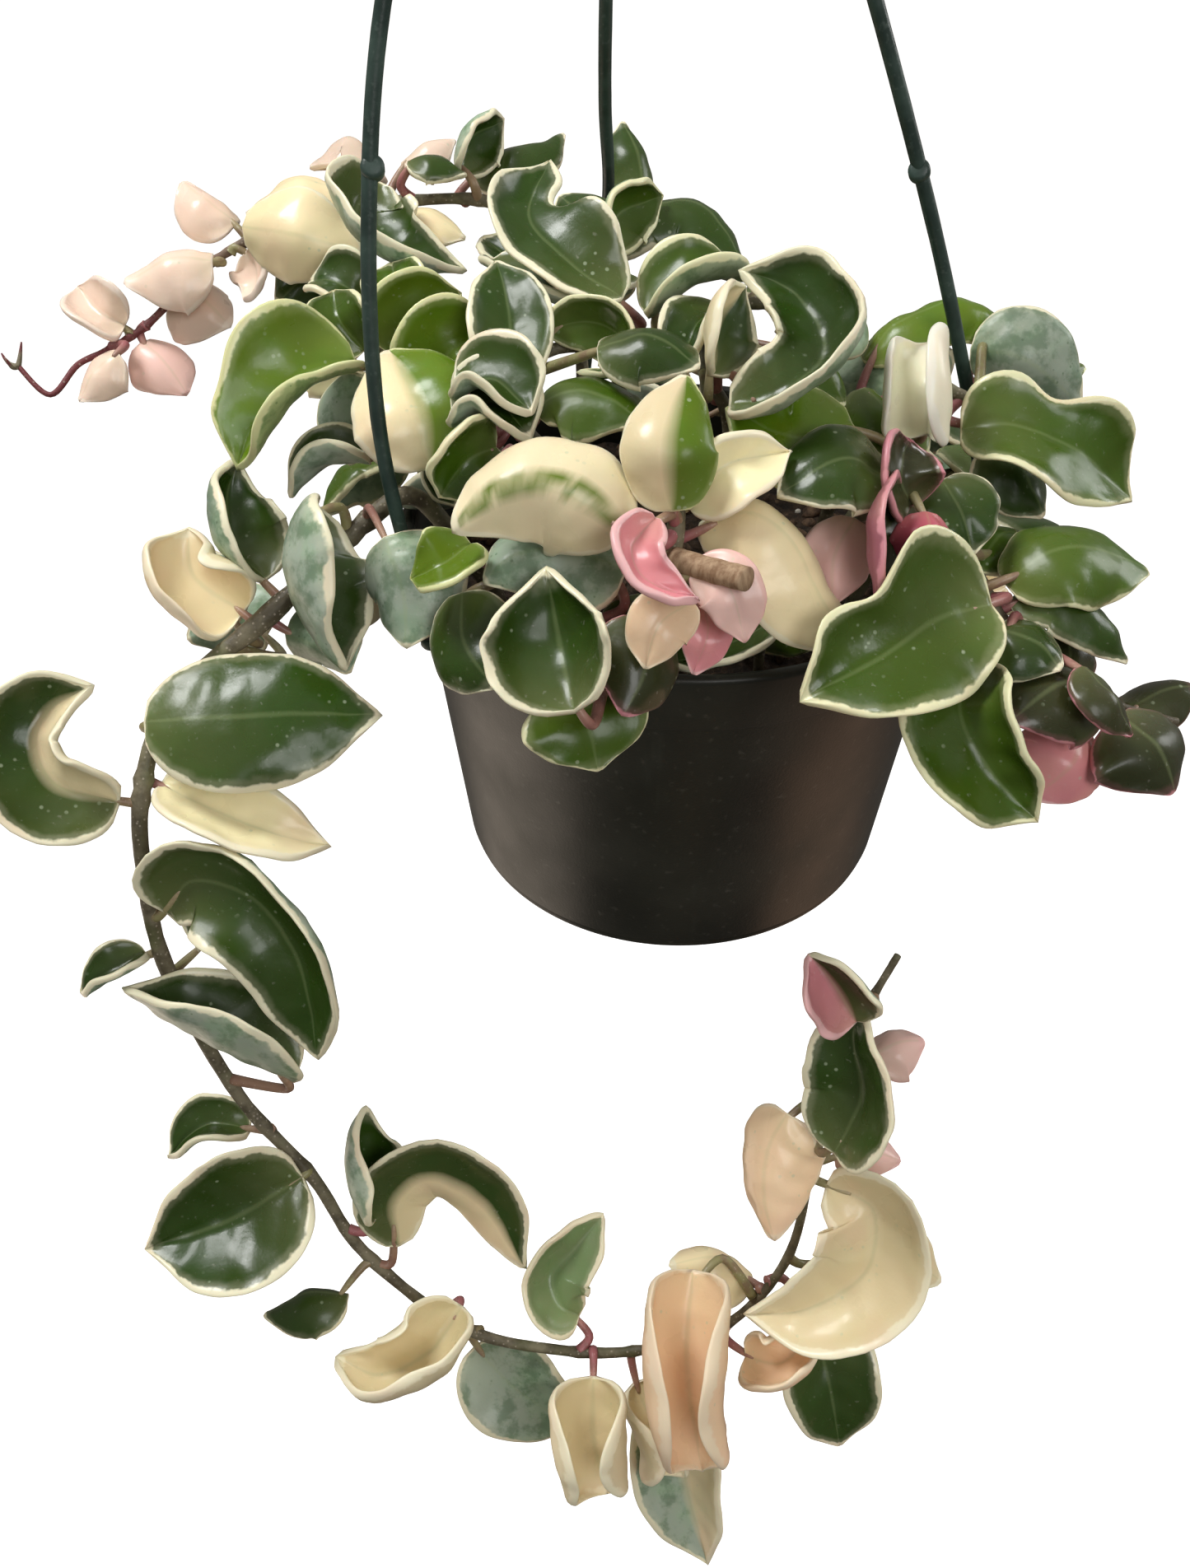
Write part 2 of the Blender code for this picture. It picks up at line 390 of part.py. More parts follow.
def blade_point(spec, frames, k, v):
    """Point and upper normal of the blade at station k and v across (-1 to 1)."""
    points, ahead, out, length = frames
    u = k / STATIONS
    hand = 1.0 if v >= 0.0 else -1.0
    pick = 0 if v >= 0.0 else 1
    outward = Matrix.Rotation(math.radians(spec["twist"]) * (u - 0.5), 3, ahead[k]) @ out[k]
    side = outward.cross(ahead[k])
    reach = half_width(spec, u, hand)
    start = math.radians(spec["fold"][pick])
    turn = math.radians(spec["curl"][pick]) * (0.45 + 0.55 * math.sin(math.pi * u))
    end = start + turn * abs(v)
    if abs(turn) < 0.01:
        spread, drop = abs(v) * math.cos(start), abs(v) * math.sin(start)
    else:
        spread = (math.sin(end) - math.sin(start)) / turn
        drop = (math.cos(start) - math.cos(end)) / turn
    lift = spec["wave"] * v * v * math.sin(3.0 * math.pi * u + 1.3 * hand) * min(1.0, 3.0 * u, 4.0 * (1.0 - u))
    back = SHOULDER * reach * v * v * (1.0 - u) ** 3
    point = points[k] + side * (hand * spread * reach) + outward * (lift - drop * reach) - ahead[k] * back
    return point, side * (hand * math.sin(end)) + outward * math.cos(end)


def blade_mesh(spec, rows, columns, thickness):
    """Closed thin shell of a blade: vertices and faces, triangles alike on both sides."""
    frames = blade_frames(spec)
    half = thickness / 2.0
    upper, lower = [], []
    for i in range(rows + 2):
        k = round(STATIONS * i / (rows + 1))
        across = [0.0] if i in (0, rows + 1) else [2.0 * j / (columns - 1) - 1.0 for j in range(columns)]
        pairs = [blade_point(spec, frames, k, v) for v in across]
        upper.append([p + n * half for p, n in pairs])
        lower.append([p - n * half for p, n in pairs])
    vertices, index = [], {}
    for side, sheet in enumerate((upper, lower)):
        for i, row in enumerate(sheet):
            for j, point in enumerate(row):
                index[side, i, j] = len(vertices)
                vertices.append(point)
    faces = []

    def both(a, b, c):
        faces.append((index[0, a[0], a[1]], index[0, b[0], b[1]], index[0, c[0], c[1]]))
        faces.append((index[1, a[0], a[1]], index[1, c[0], c[1]], index[1, b[0], b[1]]))

    last = columns - 1
    for j in range(last):
        both((0, 0), (1, j), (1, j + 1))
        both((rows + 1, 0), (rows, j + 1), (rows, j))
        for i in range(1, rows):
            both((i, j), (i + 1, j), (i + 1, j + 1))
            both((i, j), (i + 1, j + 1), (i, j + 1))
    edge = [(0, 0)] + [(i, 0) for i in range(1, rows + 1)] + [(rows + 1, 0)]
    edge += [(i, last) for i in range(rows, 0, -1)]
    for a, b in zip(edge, edge[1:] + edge[:1]):
        a0, b0, a1, b1 = index[0, a[0], a[1]], index[0, b[0], b[1]], index[1, a[0], a[1]], index[1, b[0], b[1]]
        faces.append((b0, a0, a1))
        faces.append((b0, a1, b1))
    return vertices, faces


def coarse_grid(spec):
    """Rows and columns of the solid's blade: fewer where it is small, more where it curls tightly."""
    if spec.get("tight"):
        return (5, 5) if spec["width"] > 25 else (4, 5)
    if spec["width"] < 25:
        return 3, 3
    if spec["width"] < 34:
        return 3, 5
    return 4, 5


def coarse_blade(spec, extra=0.0):
    vertices, faces = blade_mesh(spec, *coarse_grid(spec), BLADE + extra)
    return [spec["move"] @ v for v in vertices], faces


def crosses_itself(mesh):
    vertices, faces = mesh
    tree = BVHTree.FromPolygons(vertices, faces)
    return any(i < j and not set(faces[i]) & set(faces[j]) for i, j in tree.overlap(tree))


def ease(spec):
    """A blade that crosses itself gets more faces, then is opened out in small steps until it is clear."""
    for _ in range(EASE_STEPS):
        if not crosses_itself(coarse_blade(spec)):
            return
        if not spec.get("tight"):
            spec["tight"] = True
            continue
        spec["curl"] = tuple(0.97 * value for value in spec["curl"])
        spec["width"] *= 0.98
        base, tip = spec["midrib"][0], spec["midrib"][-1]
        last = len(spec["midrib"]) - 1
        spec["midrib"] = [p.lerp(base.lerp(tip, i / last), 0.16) for i, p in enumerate(spec["midrib"])]


def leaf_solid(spec):
    """Blade and stalk as one closed shell: a square stalk opens into the blade's base, its foot is in the stem."""
    rows, columns = coarse_grid(spec)
    vertices, faces = coarse_blade(spec)
    _, ahead, out, _ = blade_frames(spec)
    turn = spec["move"].to_3x3().normalized()
    up, forward = turn @ out[0], turn @ ahead[0]
    lower = 2 + rows * columns
    ends = (0, lower)
    left_up, left_down, right_up, right_down = columns, lower + columns, 1, lower + 1
    faces = [f for f in faces if not set(ends) <= set(f) and set(f) != {0, left_up, left_down}]
    centre = (vertices[0] + vertices[lower]) / 2.0
    foot, middle, _ = spec["route"]
    rings = []
    if (centre - middle).length < 3.0 * PETIOLE:
        middle = centre.lerp(foot, 0.5)
    along = (centre - foot).normalized()
    headings = ((forward + along).normalized() if forward.dot(along) > -0.8 else forward, along,
                (middle - foot).normalized())
    for point, heading in zip((centre, middle, foot), headings):
        up = (up - heading * up.dot(heading)).normalized()
        side = up.cross(heading)
        rings.append([point + up * PETIOLE, point - side * PETIOLE, point - up * PETIOLE, point + side * PETIOLE])
    vertices[0], vertices[lower] = rings[0][0], rings[0][2]
    ring = [0, len(vertices), lower, len(vertices) + 1]
    vertices += [rings[0][1], rings[0][3]]
    right, left = ring[1], ring[3]
    faces += [(right_up, 0, right), (right_up, right, lower), (right_up, lower, right_down)]
    faces += [(0, left_up, left), (left, left_up, left_down), (left, left_down, lower)]
    for spots in rings[1:]:
        following = [len(vertices) + k for k in range(4)]
        vertices += spots
        for k in range(4):
            a, b = ring[k], ring[(k + 1) % 4]
            faces += [(b, a, following[k]), (b, following[k], following[(k + 1) % 4])]
        ring = following
    faces += [(ring[0], ring[3], ring[2]), (ring[0], ring[2], ring[1])]
    return vertices, faces


# Petioles and stems
def tube_mesh(points, radii, sides):
    """Closed tube through the points, used to test for room."""
    vertices, faces = [], []
    for i, point in enumerate(points):
        ahead = (points[min(i + 1, len(points) - 1)] - points[max(i - 1, 0)]).normalized()
        first = ahead.orthogonal().normalized()
        second = ahead.cross(first)
        for k in range(sides):
            angle = 2.0 * math.pi * k / sides
            vertices.append(point + (first * math.cos(angle) + second * math.sin(angle)) * radii[i])
    for i in range(len(points) - 1):
        for k in range(sides):
            a, b = i * sides + k, i * sides + (k + 1) % sides
            faces.append((a, b, b + sides))
            faces.append((a, b + sides, a + sides))
    return vertices, faces


def nearest_on(course, point):
    best = None
    for a, b in zip(course, course[1:]):
        share = max(0.0, min(1.0, (point - a).dot(b - a) / (b - a).length_squared))
        spot = a.lerp(b, share)
        if best is None or (spot - point).length < (best - point).length:
            best = spot
    return best


def petiole_routes(course, spec):
    """Ways for the leaf stalk to run from the stem into the blade's base."""
    points = blade_frames(spec)[0]
    base, inside = spec["move"] @ points[0], spec["move"] @ points[STATIONS // 10]
    heading = (base - inside).normalized()
    for slide in (0, 5, -5, 10, -10):
        foot = nearest_on(course, base + RIGHT * slide) + FOOT_STEP * (spec["number"] % 5 - 2)
        reach = max(0.5, (base - foot).length)
        side = heading.orthogonal().normalized()
        other = heading.cross(side)
        for shift in (heading * 0.3, side * 0.35, side * -0.35, other * 0.35, other * -0.35, Vector()):
            yield [foot, foot.lerp(base, 0.55) + shift * reach, inside]


# Room: every blade and stalk is set clear of what is already there
class Room:
    def __init__(self):
        self.vertices, self.faces, self.owner = [], [], []
        self.tree = None

    def add(self, mesh, owner):
        vertices, faces = mesh
        start = len(self.vertices)
        self.vertices.extend(vertices)
        self.faces.extend(tuple(i + start for i in face) for face in faces)
        self.owner.extend([owner] * len(faces))
        self.tree = BVHTree.FromPolygons(self.vertices, self.faces)

    def touched(self, mesh):
        tree = BVHTree.FromPolygons(*mesh)
        return {self.owner[j] for _, j in tree.overlap(self.tree)}


def tweaks():
    """Small changes tried in turn: push along the line of sight, roll about the blade's axis, size."""
    found = []
    for size in (1.0, 0.93, 0.86, 0.78, 0.7):
        for push in (0, 2, -2, 4, -4, 6, -6, 9, -9, 12, -12, 16, -16, 20, -20):
            for roll in (0, 12, -12, 24, -24, 40, -40):
                cost = abs(push) + abs(roll) * 0.22 + (1.0 - size) * 45.0
                found.append((cost, push, roll, size))
    return [item[1:] for item in sorted(found)]


TWEAKS = tweaks()


def tweak_matrix(spec, push, roll, size):
    """Moves the leaf towards the eye by push, then rolls and scales it about its base."""
    base, tip = spec["midrib"][0], spec["midrib"][-1]
    near = Matrix.Scale(1.0 - push / (base - EYE).length, 4)
    moved = Matrix.Translation(EYE) @ near @ Matrix.Translation(-EYE)
    centre = moved @ base
    turn = Matrix.Rotation(math.radians(roll), 4, (tip - base).normalized())
    return Matrix.Translation(centre) @ turn @ Matrix.Scale(size, 4) @ Matrix.Translation(-centre) @ moved


def settle(room, node, course, spec):
    """First tweak with a clear blade and a clear stalk; a later try lets it meet its own stem's leaves."""
    own_stem, own_leaf = node + " stem", node + " leaf"
    spec["move"] = Matrix.Identity(4)
    ease(spec)
    vertices, faces = coarse_blade(spec, 2.0 * CLEARANCE)
    for allowed in (set(), {own_leaf}):
        for push, roll, size in TWEAKS:
            move = tweak_matrix(spec, push, roll, size)
            blade = [move @ v for v in vertices], faces
            if room.touched(blade) - allowed:
                continue
            spec["move"] = move
            for route in petiole_routes(course, spec):
                stalk = tube_mesh(route, [PETIOLE + 2.0 * CLEARANCE] * 3, 6)
                if room.touched(stalk) - allowed - {own_stem}:
                    continue
                spec["route"] = route
                if room.touched(leaf_solid(spec)) - allowed - {own_stem}:
                    continue
                room.add(blade, own_leaf)
                room.add(stalk, own_leaf)
                spec["tweak"] = (push, roll, size, own_leaf in allowed)
                return spec
    return None


# Objects
def clear_scene():
    for item in list(bpy.data.objects):
        bpy.data.objects.remove(item, do_unlink=True)
    for group in list(bpy.data.collections):
        bpy.data.collections.remove(group)


def make_collection(name):
    group = bpy.data.collections.new(name)
    bpy.context.scene.collection.children.link(group)
    return group


def make_material(name, colour, roughness):
    material = bpy.data.materials.new(name)
    material.use_nodes = True
    shader = material.node_tree.nodes["Principled BSDF"]
    shader.inputs["Base Color"].default_value = (*colour, 1.0)
    shader.inputs["Roughness"].default_value = roughness
    return material


def mesh_object(name, vertices, faces, group):
    mesh = bpy.data.meshes.new(name)
    mesh.from_pydata([placed(v) for v in vertices], [], faces)
    mesh.validate()
    item = bpy.data.objects.new(name, mesh)
    group.objects.link(item)
    return item


def converted(item):
    """A curve or modified object made into a plain mesh object of the same name."""
    graph = bpy.context.evaluated_depsgraph_get()
    mesh = bpy.data.meshes.new_from_object(item.evaluated_get(graph))
    name, group, matrix = item.name, item.users_collection[0], item.matrix_world.copy()
    bpy.data.objects.remove(item, do_unlink=True)
    work = bmesh.new()
    work.from_mesh(mesh)
    bmesh.ops.remove_doubles(work, verts=work.verts, dist=0.00001)
    bmesh.ops.recalc_face_normals(work, faces=work.faces)
    work.to_mesh(mesh)
    work.free()
    mesh.transform(matrix)
    new = bpy.data.objects.new(name, mesh)
    group.objects.link(new)
    return new


def rod(name, points, radii, resolution, group):
    """Round rod through the points, thinning as the radii say."""
    curve = bpy.data.curves.new(name, "CURVE")
    curve.dimensions = "3D"
    curve.bevel_depth = MM
    curve.bevel_resolution = resolution
    curve.use_fill_caps = True
    spline = curve.splines.new("POLY")
    spline.points.add(len(points) - 1)
    for spot, point, radius in zip(spline.points, points, radii):
        spot.co = (*placed(point), 1.0)
        spot.radius = radius
    item = bpy.data.objects.new(name, curve)
    group.objects.link(item)
    bpy.context.view_layer.update()
    return converted(item)


def cylinder(name, centre, radius, height, sides, group, axis=Vector((0, 0, 1))):
    bpy.ops.mesh.primitive_cylinder_add(vertices=sides, radius=radius * MM, depth=height * MM,
                                        location=placed(centre))
    item = bpy.context.object
    item.name = name
    item.rotation_mode = "QUATERNION"
    item.rotation_quaternion = Vector((0, 0, 1)).rotation_difference(axis)
    for old in list(item.users_collection):
        old.objects.unlink(item)
    group.objects.link(item)
    return item


def screw_solid(name, profile, sides, group):
    """Turned solid: profile of (radius, height), outer side running down."""
    mesh = bpy.data.meshes.new(name)
    points = [(r * MM, 0.0, z * MM) for r, z in profile]
    mesh.from_pydata(points, [(i, i + 1) for i in range(len(points) - 1)], [])
    item = bpy.data.objects.new(name, mesh)
    item.location = placed((0, 0, 0))
    group.objects.link(item)
    turn = item.modifiers.new("turn", "SCREW")
    turn.steps = sides
    turn.render_steps = sides
    turn.use_merge_vertices = True
    turn.merge_threshold = 0.00005
    bpy.context.view_layer.update()
    return converted(item)


def smoothed(course, steps):
    """Rounder course through the same points."""
    points = []
    for i in range(len(course) - 1):
        p0 = course[max(i - 1, 0)]
        p1, p2 = course[i], course[i + 1]
        p3 = course[min(i + 2, len(course) - 1)]
        for k in range(steps):
            t = k / steps
            points.append(0.5 * (2 * p1 + (p2 - p0) * t + (2 * p0 - 5 * p1 + 4 * p2 - p3) * t * t
                                 + (3 * p1 - p0 - 3 * p2 + p3) * t ** 3))
    return points + [course[-1]]


def combined_mesh(base, operation, solver, tools):
    """Mesh of the Boolean of a base with every object of a collection."""
    cut = base.modifiers.new("combine", "BOOLEAN")
    cut.operation = operation
    cut.solver = solver
    cut.operand_type = "COLLECTION"
    cut.collection = tools
    bpy.context.view_layer.update()
    graph = bpy.context.evaluated_depsgraph_get()
    mesh = bpy.data.meshes.new_from_object(base.evaluated_get(graph))
    base.modifiers.clear()
    return mesh


def emptied(tools):
    for tool in list(tools.objects):
        bpy.data.objects.remove(tool, do_unlink=True)


def combine(base, operation, tools):
    """Applies the Boolean and removes the collection's objects."""
    for tool in tools.objects:
        tool.display_type = "WIRE"
    base.data = combined_mesh(base, operation, "EXACT", tools)
    emptied(tools)


def shells_of(work):
    """Sets of faces joined over edges, largest first."""
    unseen = set(work.faces)
    shells = []
    while unseen:
        stack = [unseen.pop()]
        shell = set(stack)
        while stack:
            near = {face for edge in stack.pop().edges for face in edge.link_faces} & unseen
            unseen -= near
            shell |= near
            stack.extend(near)
        shells.append(shell)
    return sorted(shells, key=len, reverse=True)


def cleaned(mesh):
    """Triangles with the thinnest slivers closed up as far as the body stays whole and sound, or None."""
    plain = bmesh.new()
    plain.from_mesh(mesh)
    count = len(shells_of(plain))
    plain.free()
    for reach in (0.00006, 0.00004, 0.00002, 0.00001, 0.000005, 0.000002, 0.0):
        for method in ("BEAUTY", "EAR_CLIP"):
            work = bmesh.new()
            work.from_mesh(mesh)
            if reach:
                bmesh.ops.remove_doubles(work, verts=work.verts, dist=reach)
                bmesh.ops.dissolve_degenerate(work, edges=work.edges, dist=reach)
            bmesh.ops.triangulate(work, faces=work.faces, ngon_method=method)
            sound = all(len(edge.link_faces) == 2 for edge in work.edges)
            if sound and len(shells_of(work)) == count:
                return work
            work.free()
    return None


def keep_main_shell(item, work):
    """Drops loose scraps and fills sealed hollows: only the largest shell stays."""
    shells = shells_of(work)
    for shell in shells[1:]:
        bmesh.ops.delete(work, geom=list(shell), context="FACES")
    work.to_mesh(item.data)
    work.free()
    return len(shells) - 1


def rim_spot(angle, radius, height):
    turn = math.radians(angle)
    return Vector((math.sin(turn) * radius, math.cos(turn) * radius, height))


def strand_course(side):
    """Courses of the three hanger strands from the lug's underside to the hub."""
    foot = rim_spot(LUG_ANGLES[side], 81.5, 0.0)
    low = [foot + Vector((0, 0, -11)), foot + Vector((0, 0, -1))]
    socket = {"left": (-22.6, -5.6), "back": (-18.6, 2.2), "right": (-12.8, -4.2)}[side]
    top = [Vector((*socket, 237)), Vector((*socket, 241)), Vector((*socket, 252))]
    middle = {
        "left": [(-70, -54, 27), (-73, -50, 54), (-72, -42, 90), (-66, -32, 131), (-50, -20, 180), (-32, -10, 220)],
        "back": [(-25, 70, 32), (-21, 62, 62), (-22, 48, 90), (-22, 36, 117), (-21, 20, 170), (-19, 6, 222)],
        "right": [(75, -9, 20), (70, -9, 36), (55, -9, 77), (34, -9, 127), (10, -8, 180), (-8, -5, 224)],
    }[side]
    middle = [Vector(p) for p in middle]
    return low + [(foot + Vector((0, 0, 1))).lerp(middle[0], 0.25)] + middle + top


def strand_nubs(side):
    """Small round moulding marks on each strand."""
    picks = {"left": [4], "back": [6], "right": [4, 5]}[side]
    course = strand_course(side)
    return [course[i + 1].lerp(course[i + 2], 0.3) for i in picks]


def build_pot(group, cutters):
    floor_top = -POT_HEIGHT + WALL
    inner_top = RIM_RADIUS - 3.4
    wall_low = BASE_RADIUS - WALL
    profile = [
        (0.0, floor_top), (wall_low - 0.6, floor_top), (wall_low, floor_top + 1.0),
        (WALL_TOP_RADIUS - WALL, -LIP_HEIGHT), (inner_top - 0.6, -2.0), (inner_top, -0.5), (inner_top + 0.6, 0.0),
        (RIM_RADIUS - 0.6, 0.0), (RIM_RADIUS, -0.6), (LIP_LOW_RADIUS, -LIP_HEIGHT + 0.4),
        (LIP_LOW_RADIUS - 0.5, -LIP_HEIGHT), (WALL_TOP_RADIUS, -LIP_HEIGHT - 0.6),
        (BASE_RADIUS + 0.75, -POT_HEIGHT + 2.9), (BASE_RADIUS + 0.2, -POT_HEIGHT + 2.6),
        (BASE_RADIUS, -POT_HEIGHT + 0.8), (BASE_RADIUS - 0.8, -POT_HEIGHT), (0.0, -POT_HEIGHT),
    ]
    pot = screw_solid("pot", profile, 40, group)
    for angle in LUG_ANGLES.values():
        cylinder("lug", rim_spot(angle, 81.0, -4.0), 5.0, 5.0, 16, cutters)
        cylinder("web", rim_spot(angle, 79.0, -4.0), 3.6, 5.0, 12, cutters)
    combine(pot, "UNION", cutters)
    for angle in LUG_ANGLES.values():
        cylinder("eye", rim_spot(angle, 81.5, -4.0), STRAND_RADIUS + GAP, 12.0, 12, cutters)
    for k in range(DRAIN_COUNT):
        spot = rim_spot(360.0 * k / DRAIN_COUNT + 10.0, 48.0, -POT_HEIGHT)
        cylinder("drain", spot, DRAIN_RADIUS, 12.0, 12, cutters)
    combine(pot, "DIFFERENCE", cutters)
    return pot


def soil_height(x, y):
    """Gently uneven top of the potting mix."""
    bump = math.sin(x * 0.21 + 1.0) * math.cos(y * 0.17) + 0.6 * math.sin(x * 0.47 - y * 0.39)
    return -SOIL_DROP + 0.8 * bump - 0.0006 * (x * x + y * y)


def build_soil(group, cutters, roots):
    floor = -POT_HEIGHT + WALL + GAP
    top_radius = 70.0
    profile = [(0.0, -SOIL_DROP)]
    profile += [(top_radius * k / 5.0, -SOIL_DROP) for k in range(1, 6)]
    profile += [(61.4, floor + 1.2), (60.6, floor), (0.0, floor)]
    soil = screw_solid("soil", profile, 32, group)
    for vertex in soil.data.vertices:
        spot = vertex.co / MM - RIM_CENTRE
        if abs(spot.z + SOIL_DROP) < 0.1:
            vertex.co.z = placed((0, 0, soil_height(spot.x, spot.y))).z
    for x, y, radius in roots:
        cylinder("root_hole", (x, y, -18.0), radius + GAP, 24.0, 10, cutters)
    combine(soil, "DIFFERENCE", cutters)
    return soil


def build_strand(side, group, cutters):
    course = smoothed(strand_course(side), 2)
    strand = rod("hanger_strand_" + side, course, [STRAND_RADIUS] * len(course), 2, group)
    foot = strand_course(side)[0]
    cylinder("foot", foot + Vector((0, 0, 1.0)), 2.9, 3.0, 12, cutters)
    toward = (EYE - foot).normalized()
    for spot in strand_nubs(side):
        cylinder("nub", spot, NUB_RADIUS, 2.4 * STRAND_RADIUS, 12, cutters, toward)
    combine(strand, "UNION", cutters)
    keep_main_shell(strand, cleaned(strand.data))
    return strand


def build_hook(group, cutters):
    rise = HOOK_INNER + HOOK_ROD
    points = [Vector((0, 0, HUB_TOP - 4)), Vector((0, 0, HUB_TOP + 3)), Vector((5, 0, -31)), Vector((11, 0, -25))]
    for k in range(13):
        angle = math.radians(-25.0 + 215.0 * k / 12.0)
        points.append(Vector((rise * math.cos(angle), 0, -HOOK_INNER + rise * math.sin(angle))))
    points = [p - RIM_CENTRE for p in points]
    hook = rod("hanger_hook", points, [HOOK_ROD] * len(points), 2, group)
    centre = Vector((0, 0, HUB_TOP - HUB_HEIGHT / 2.0)) - RIM_CENTRE
    cylinder("hub", centre, HUB_RADIUS, HUB_HEIGHT, 20, cutters)
    cylinder("collar", centre + Vector((0, 0, HUB_HEIGHT / 2.0)), 4.6, 5.0, 14, cutters)
    cylinder("knob", points[-1], 3.0, 3.4, 12, cutters)
    combine(hook, "UNION", cutters)
    for side in LUG_ANGLES:
        top = strand_course(side)[-1]
        cylinder("socket", top + Vector((0, 0, GAP - 6.0)), STRAND_RADIUS + GAP, 12.0, 12, cutters)
    combine(hook, "DIFFERENCE", cutters)
    keep_main_shell(hook, cleaned(hook.data))
    return hook


def rule_stem(heading, reach, hang, count, rng):
    """A stem on a side that the front view hides: over the rim, then down, leaves in crossed pairs."""
    out = Vector((math.sin(math.radians(heading)), math.cos(math.radians(heading)), 0.0))
    side = Vector((out.y, -out.x, 0.0))
    rise = Vector((0.0, 0.0, 1.0))
    course = [out * 46 - rise * (SOIL_DROP + 5), out * 46 - rise * 8, out * 56 + rise * 3, out * 74 + rise * 6,
              out * (74 + reach * 0.6) + rise, out * (74 + reach) - rise * hang * 0.5,
              out * (76 + reach) - rise * hang]
    leaves = []
    for k in range(count):
        pair, hand = k // 2, 1.0 if k % 2 else -1.0
        share = 0.3 + 0.7 * pair / max(1, (count - 1) // 2)
        at = curve_point(course, share)
        aim = side * hand * rng.uniform(0.8, 1.1) if pair % 2 else out * 0.5 + side * hand * 0.9
        aim = (aim + out * rng.uniform(0.1, 0.5) - rise * 0.5 * share).normalized()
        size = rng.uniform(30, 38)
        face = (out * rng.uniform(0.5, 1.0) + rise * rng.uniform(0.3, 0.9)).normalized()
        cupped = rng.random() < 0.5
        bulge = -0.2 if cupped else 0.25
        base = at + aim * 8
        middle = base + aim * size * 0.5 + face * size * bulge
        leaves.append(dict(midrib=[base, middle, base + aim * size], face=face, width=size * 0.85,
                           fold=(-10, -10) if cupped else (12, 12), curl=(-80, -70) if cupped else (60, 50),
                           skew=0.0, wave=rng.uniform(0.0, 2.0), twist=rng.uniform(-20, 20), pinch=None))
    return course, (2.0, 1.2), leaves


def all_stems():
    rng = random.Random(SEED)
    stems = {}
    for name, maker in LEAFY_STEMS.items():
        course, radii, leaves = maker()
        course = [seen(*p) for p in course]
        root = Vector((course[0].x, course[0].y, -SOIL_DROP - 5.0))
        bend = Vector((course[0].x, course[0].y, -SOIL_DROP + 5.0))
        stems[name] = ([root, bend] + course[1:], radii, leaves)
    for name, heading, reach, hang, count in (("back_right_stem", 48, 14, 40, 7), ("back_stem", 8, 12, 46, 7),
                                              ("side_left_stem", -64, 13, 40, 6), ("side_right_stem", 84, 12, 36, 5)):
        stems[name] = rule_stem(heading, reach, hang, count, rng)
    return stems


def stem_radii(course, radii):
    lengths = [0.0]
    for a, b in zip(course, course[1:]):
        lengths.append(lengths[-1] + (b - a).length)
    return [radii[0] + (radii[1] - radii[0]) * length / lengths[-1] for length in lengths]


def pot_outline():
    """Plain lathe and lug posts that leaves and stems keep clear of."""
    rows = ((RIM_RADIUS - 3.7, -8.0), (RIM_RADIUS - 3.7, 0.3), (RIM_RADIUS + 0.3, 0.3),
            (LIP_LOW_RADIUS + 0.3, -LIP_HEIGHT), (BASE_RADIUS + 0.6, -POT_HEIGHT))
    sides = 48
    vertices = [rim_spot(360.0 * k / sides, radius, height) for radius, height in rows for k in range(sides)]
    faces = []
    for i in range(len(rows) - 1):
        for k in range(sides):
            a, b = i * sides + k, i * sides + (k + 1) % sides
            faces += [(a, b, b + sides), (a, b + sides, a + sides)]
    return vertices, faces


def settle_all(stems):
    """Stems first, then every leaf in turn, each clear of all before it."""
    room = Room()
    room.add(pot_outline(), "pot")
    for side, angle in LUG_ANGLES.items():
        post = [rim_spot(angle, 81.0, -0.5), rim_spot(angle, 81.0, -13.0)]
        room.add(tube_mesh(post, [6.2, 6.2], 12), "pot")
        course = smoothed(strand_course(side), 2)
        room.add(tube_mesh(course, [STRAND_RADIUS + 0.3] * len(course), 8), "strand " + side)
    for name, (course, radii, _) in stems.items():
        mesh = tube_mesh(course, [r + CLEARANCE for r in stem_radii(course, radii)], 6)
        met = room.touched(mesh) - {"soil"}
        if met:
            print("STEM MEETS", name, sorted(met))
        room.add(mesh, name + " stem")
    result = {}
    for name, (course, radii, leaves) in stems.items():
        kept = []
        for number, spec in enumerate(leaves):
            spec["number"] = number
            done = settle(room, name, course, spec)
            if done is None:
                print("NO ROOM", name, number)
                continue
            push, roll, size, meets = done["tweak"]
            if abs(push) > 6 or abs(roll) > 12 or size < 0.9 or meets:
                print("TWEAK", name, number, done["tweak"])
            kept.append(done)
        result[name] = kept
    return result


def build_leafy(name, course, radii, leaves, group, parts):
    stem = rod(name, course, stem_radii(course, radii), 1, group)
    for spec in leaves:
        solid = leaf_solid(spec)
        if crosses_itself(solid):
            mesh_object("blade", *coarse_blade(spec), parts)
            rod("stalk", spec["route"], [PETIOLE] * 3, 0, parts)
        else:
            mesh_object("leaf", *solid, parts)
    if name == "front_cream_stem":
        stub = [seen(*p) for p in DRY_STUB]
        rod("dry_stub", stub, [2.2, 3.2, 3.0], 1, parts)
    for solver in ("MANIFOLD", "EXACT"):
        mesh = combined_mesh(stem, "UNION", solver, parts)
        work = cleaned(mesh)
        if work:
            break
    stem.data = mesh
    emptied(parts)
    scraps = keep_main_shell(stem, work)
    print("NODE", name, len(stem.data.polygons), "triangles", scraps, "scraps")
    return stem


def shade(item, material, smooth):
    item.data.materials.clear()
    item.data.materials.append(material)
    for face in item.data.polygons:
        face.material_index = 0
        face.use_smooth = smooth


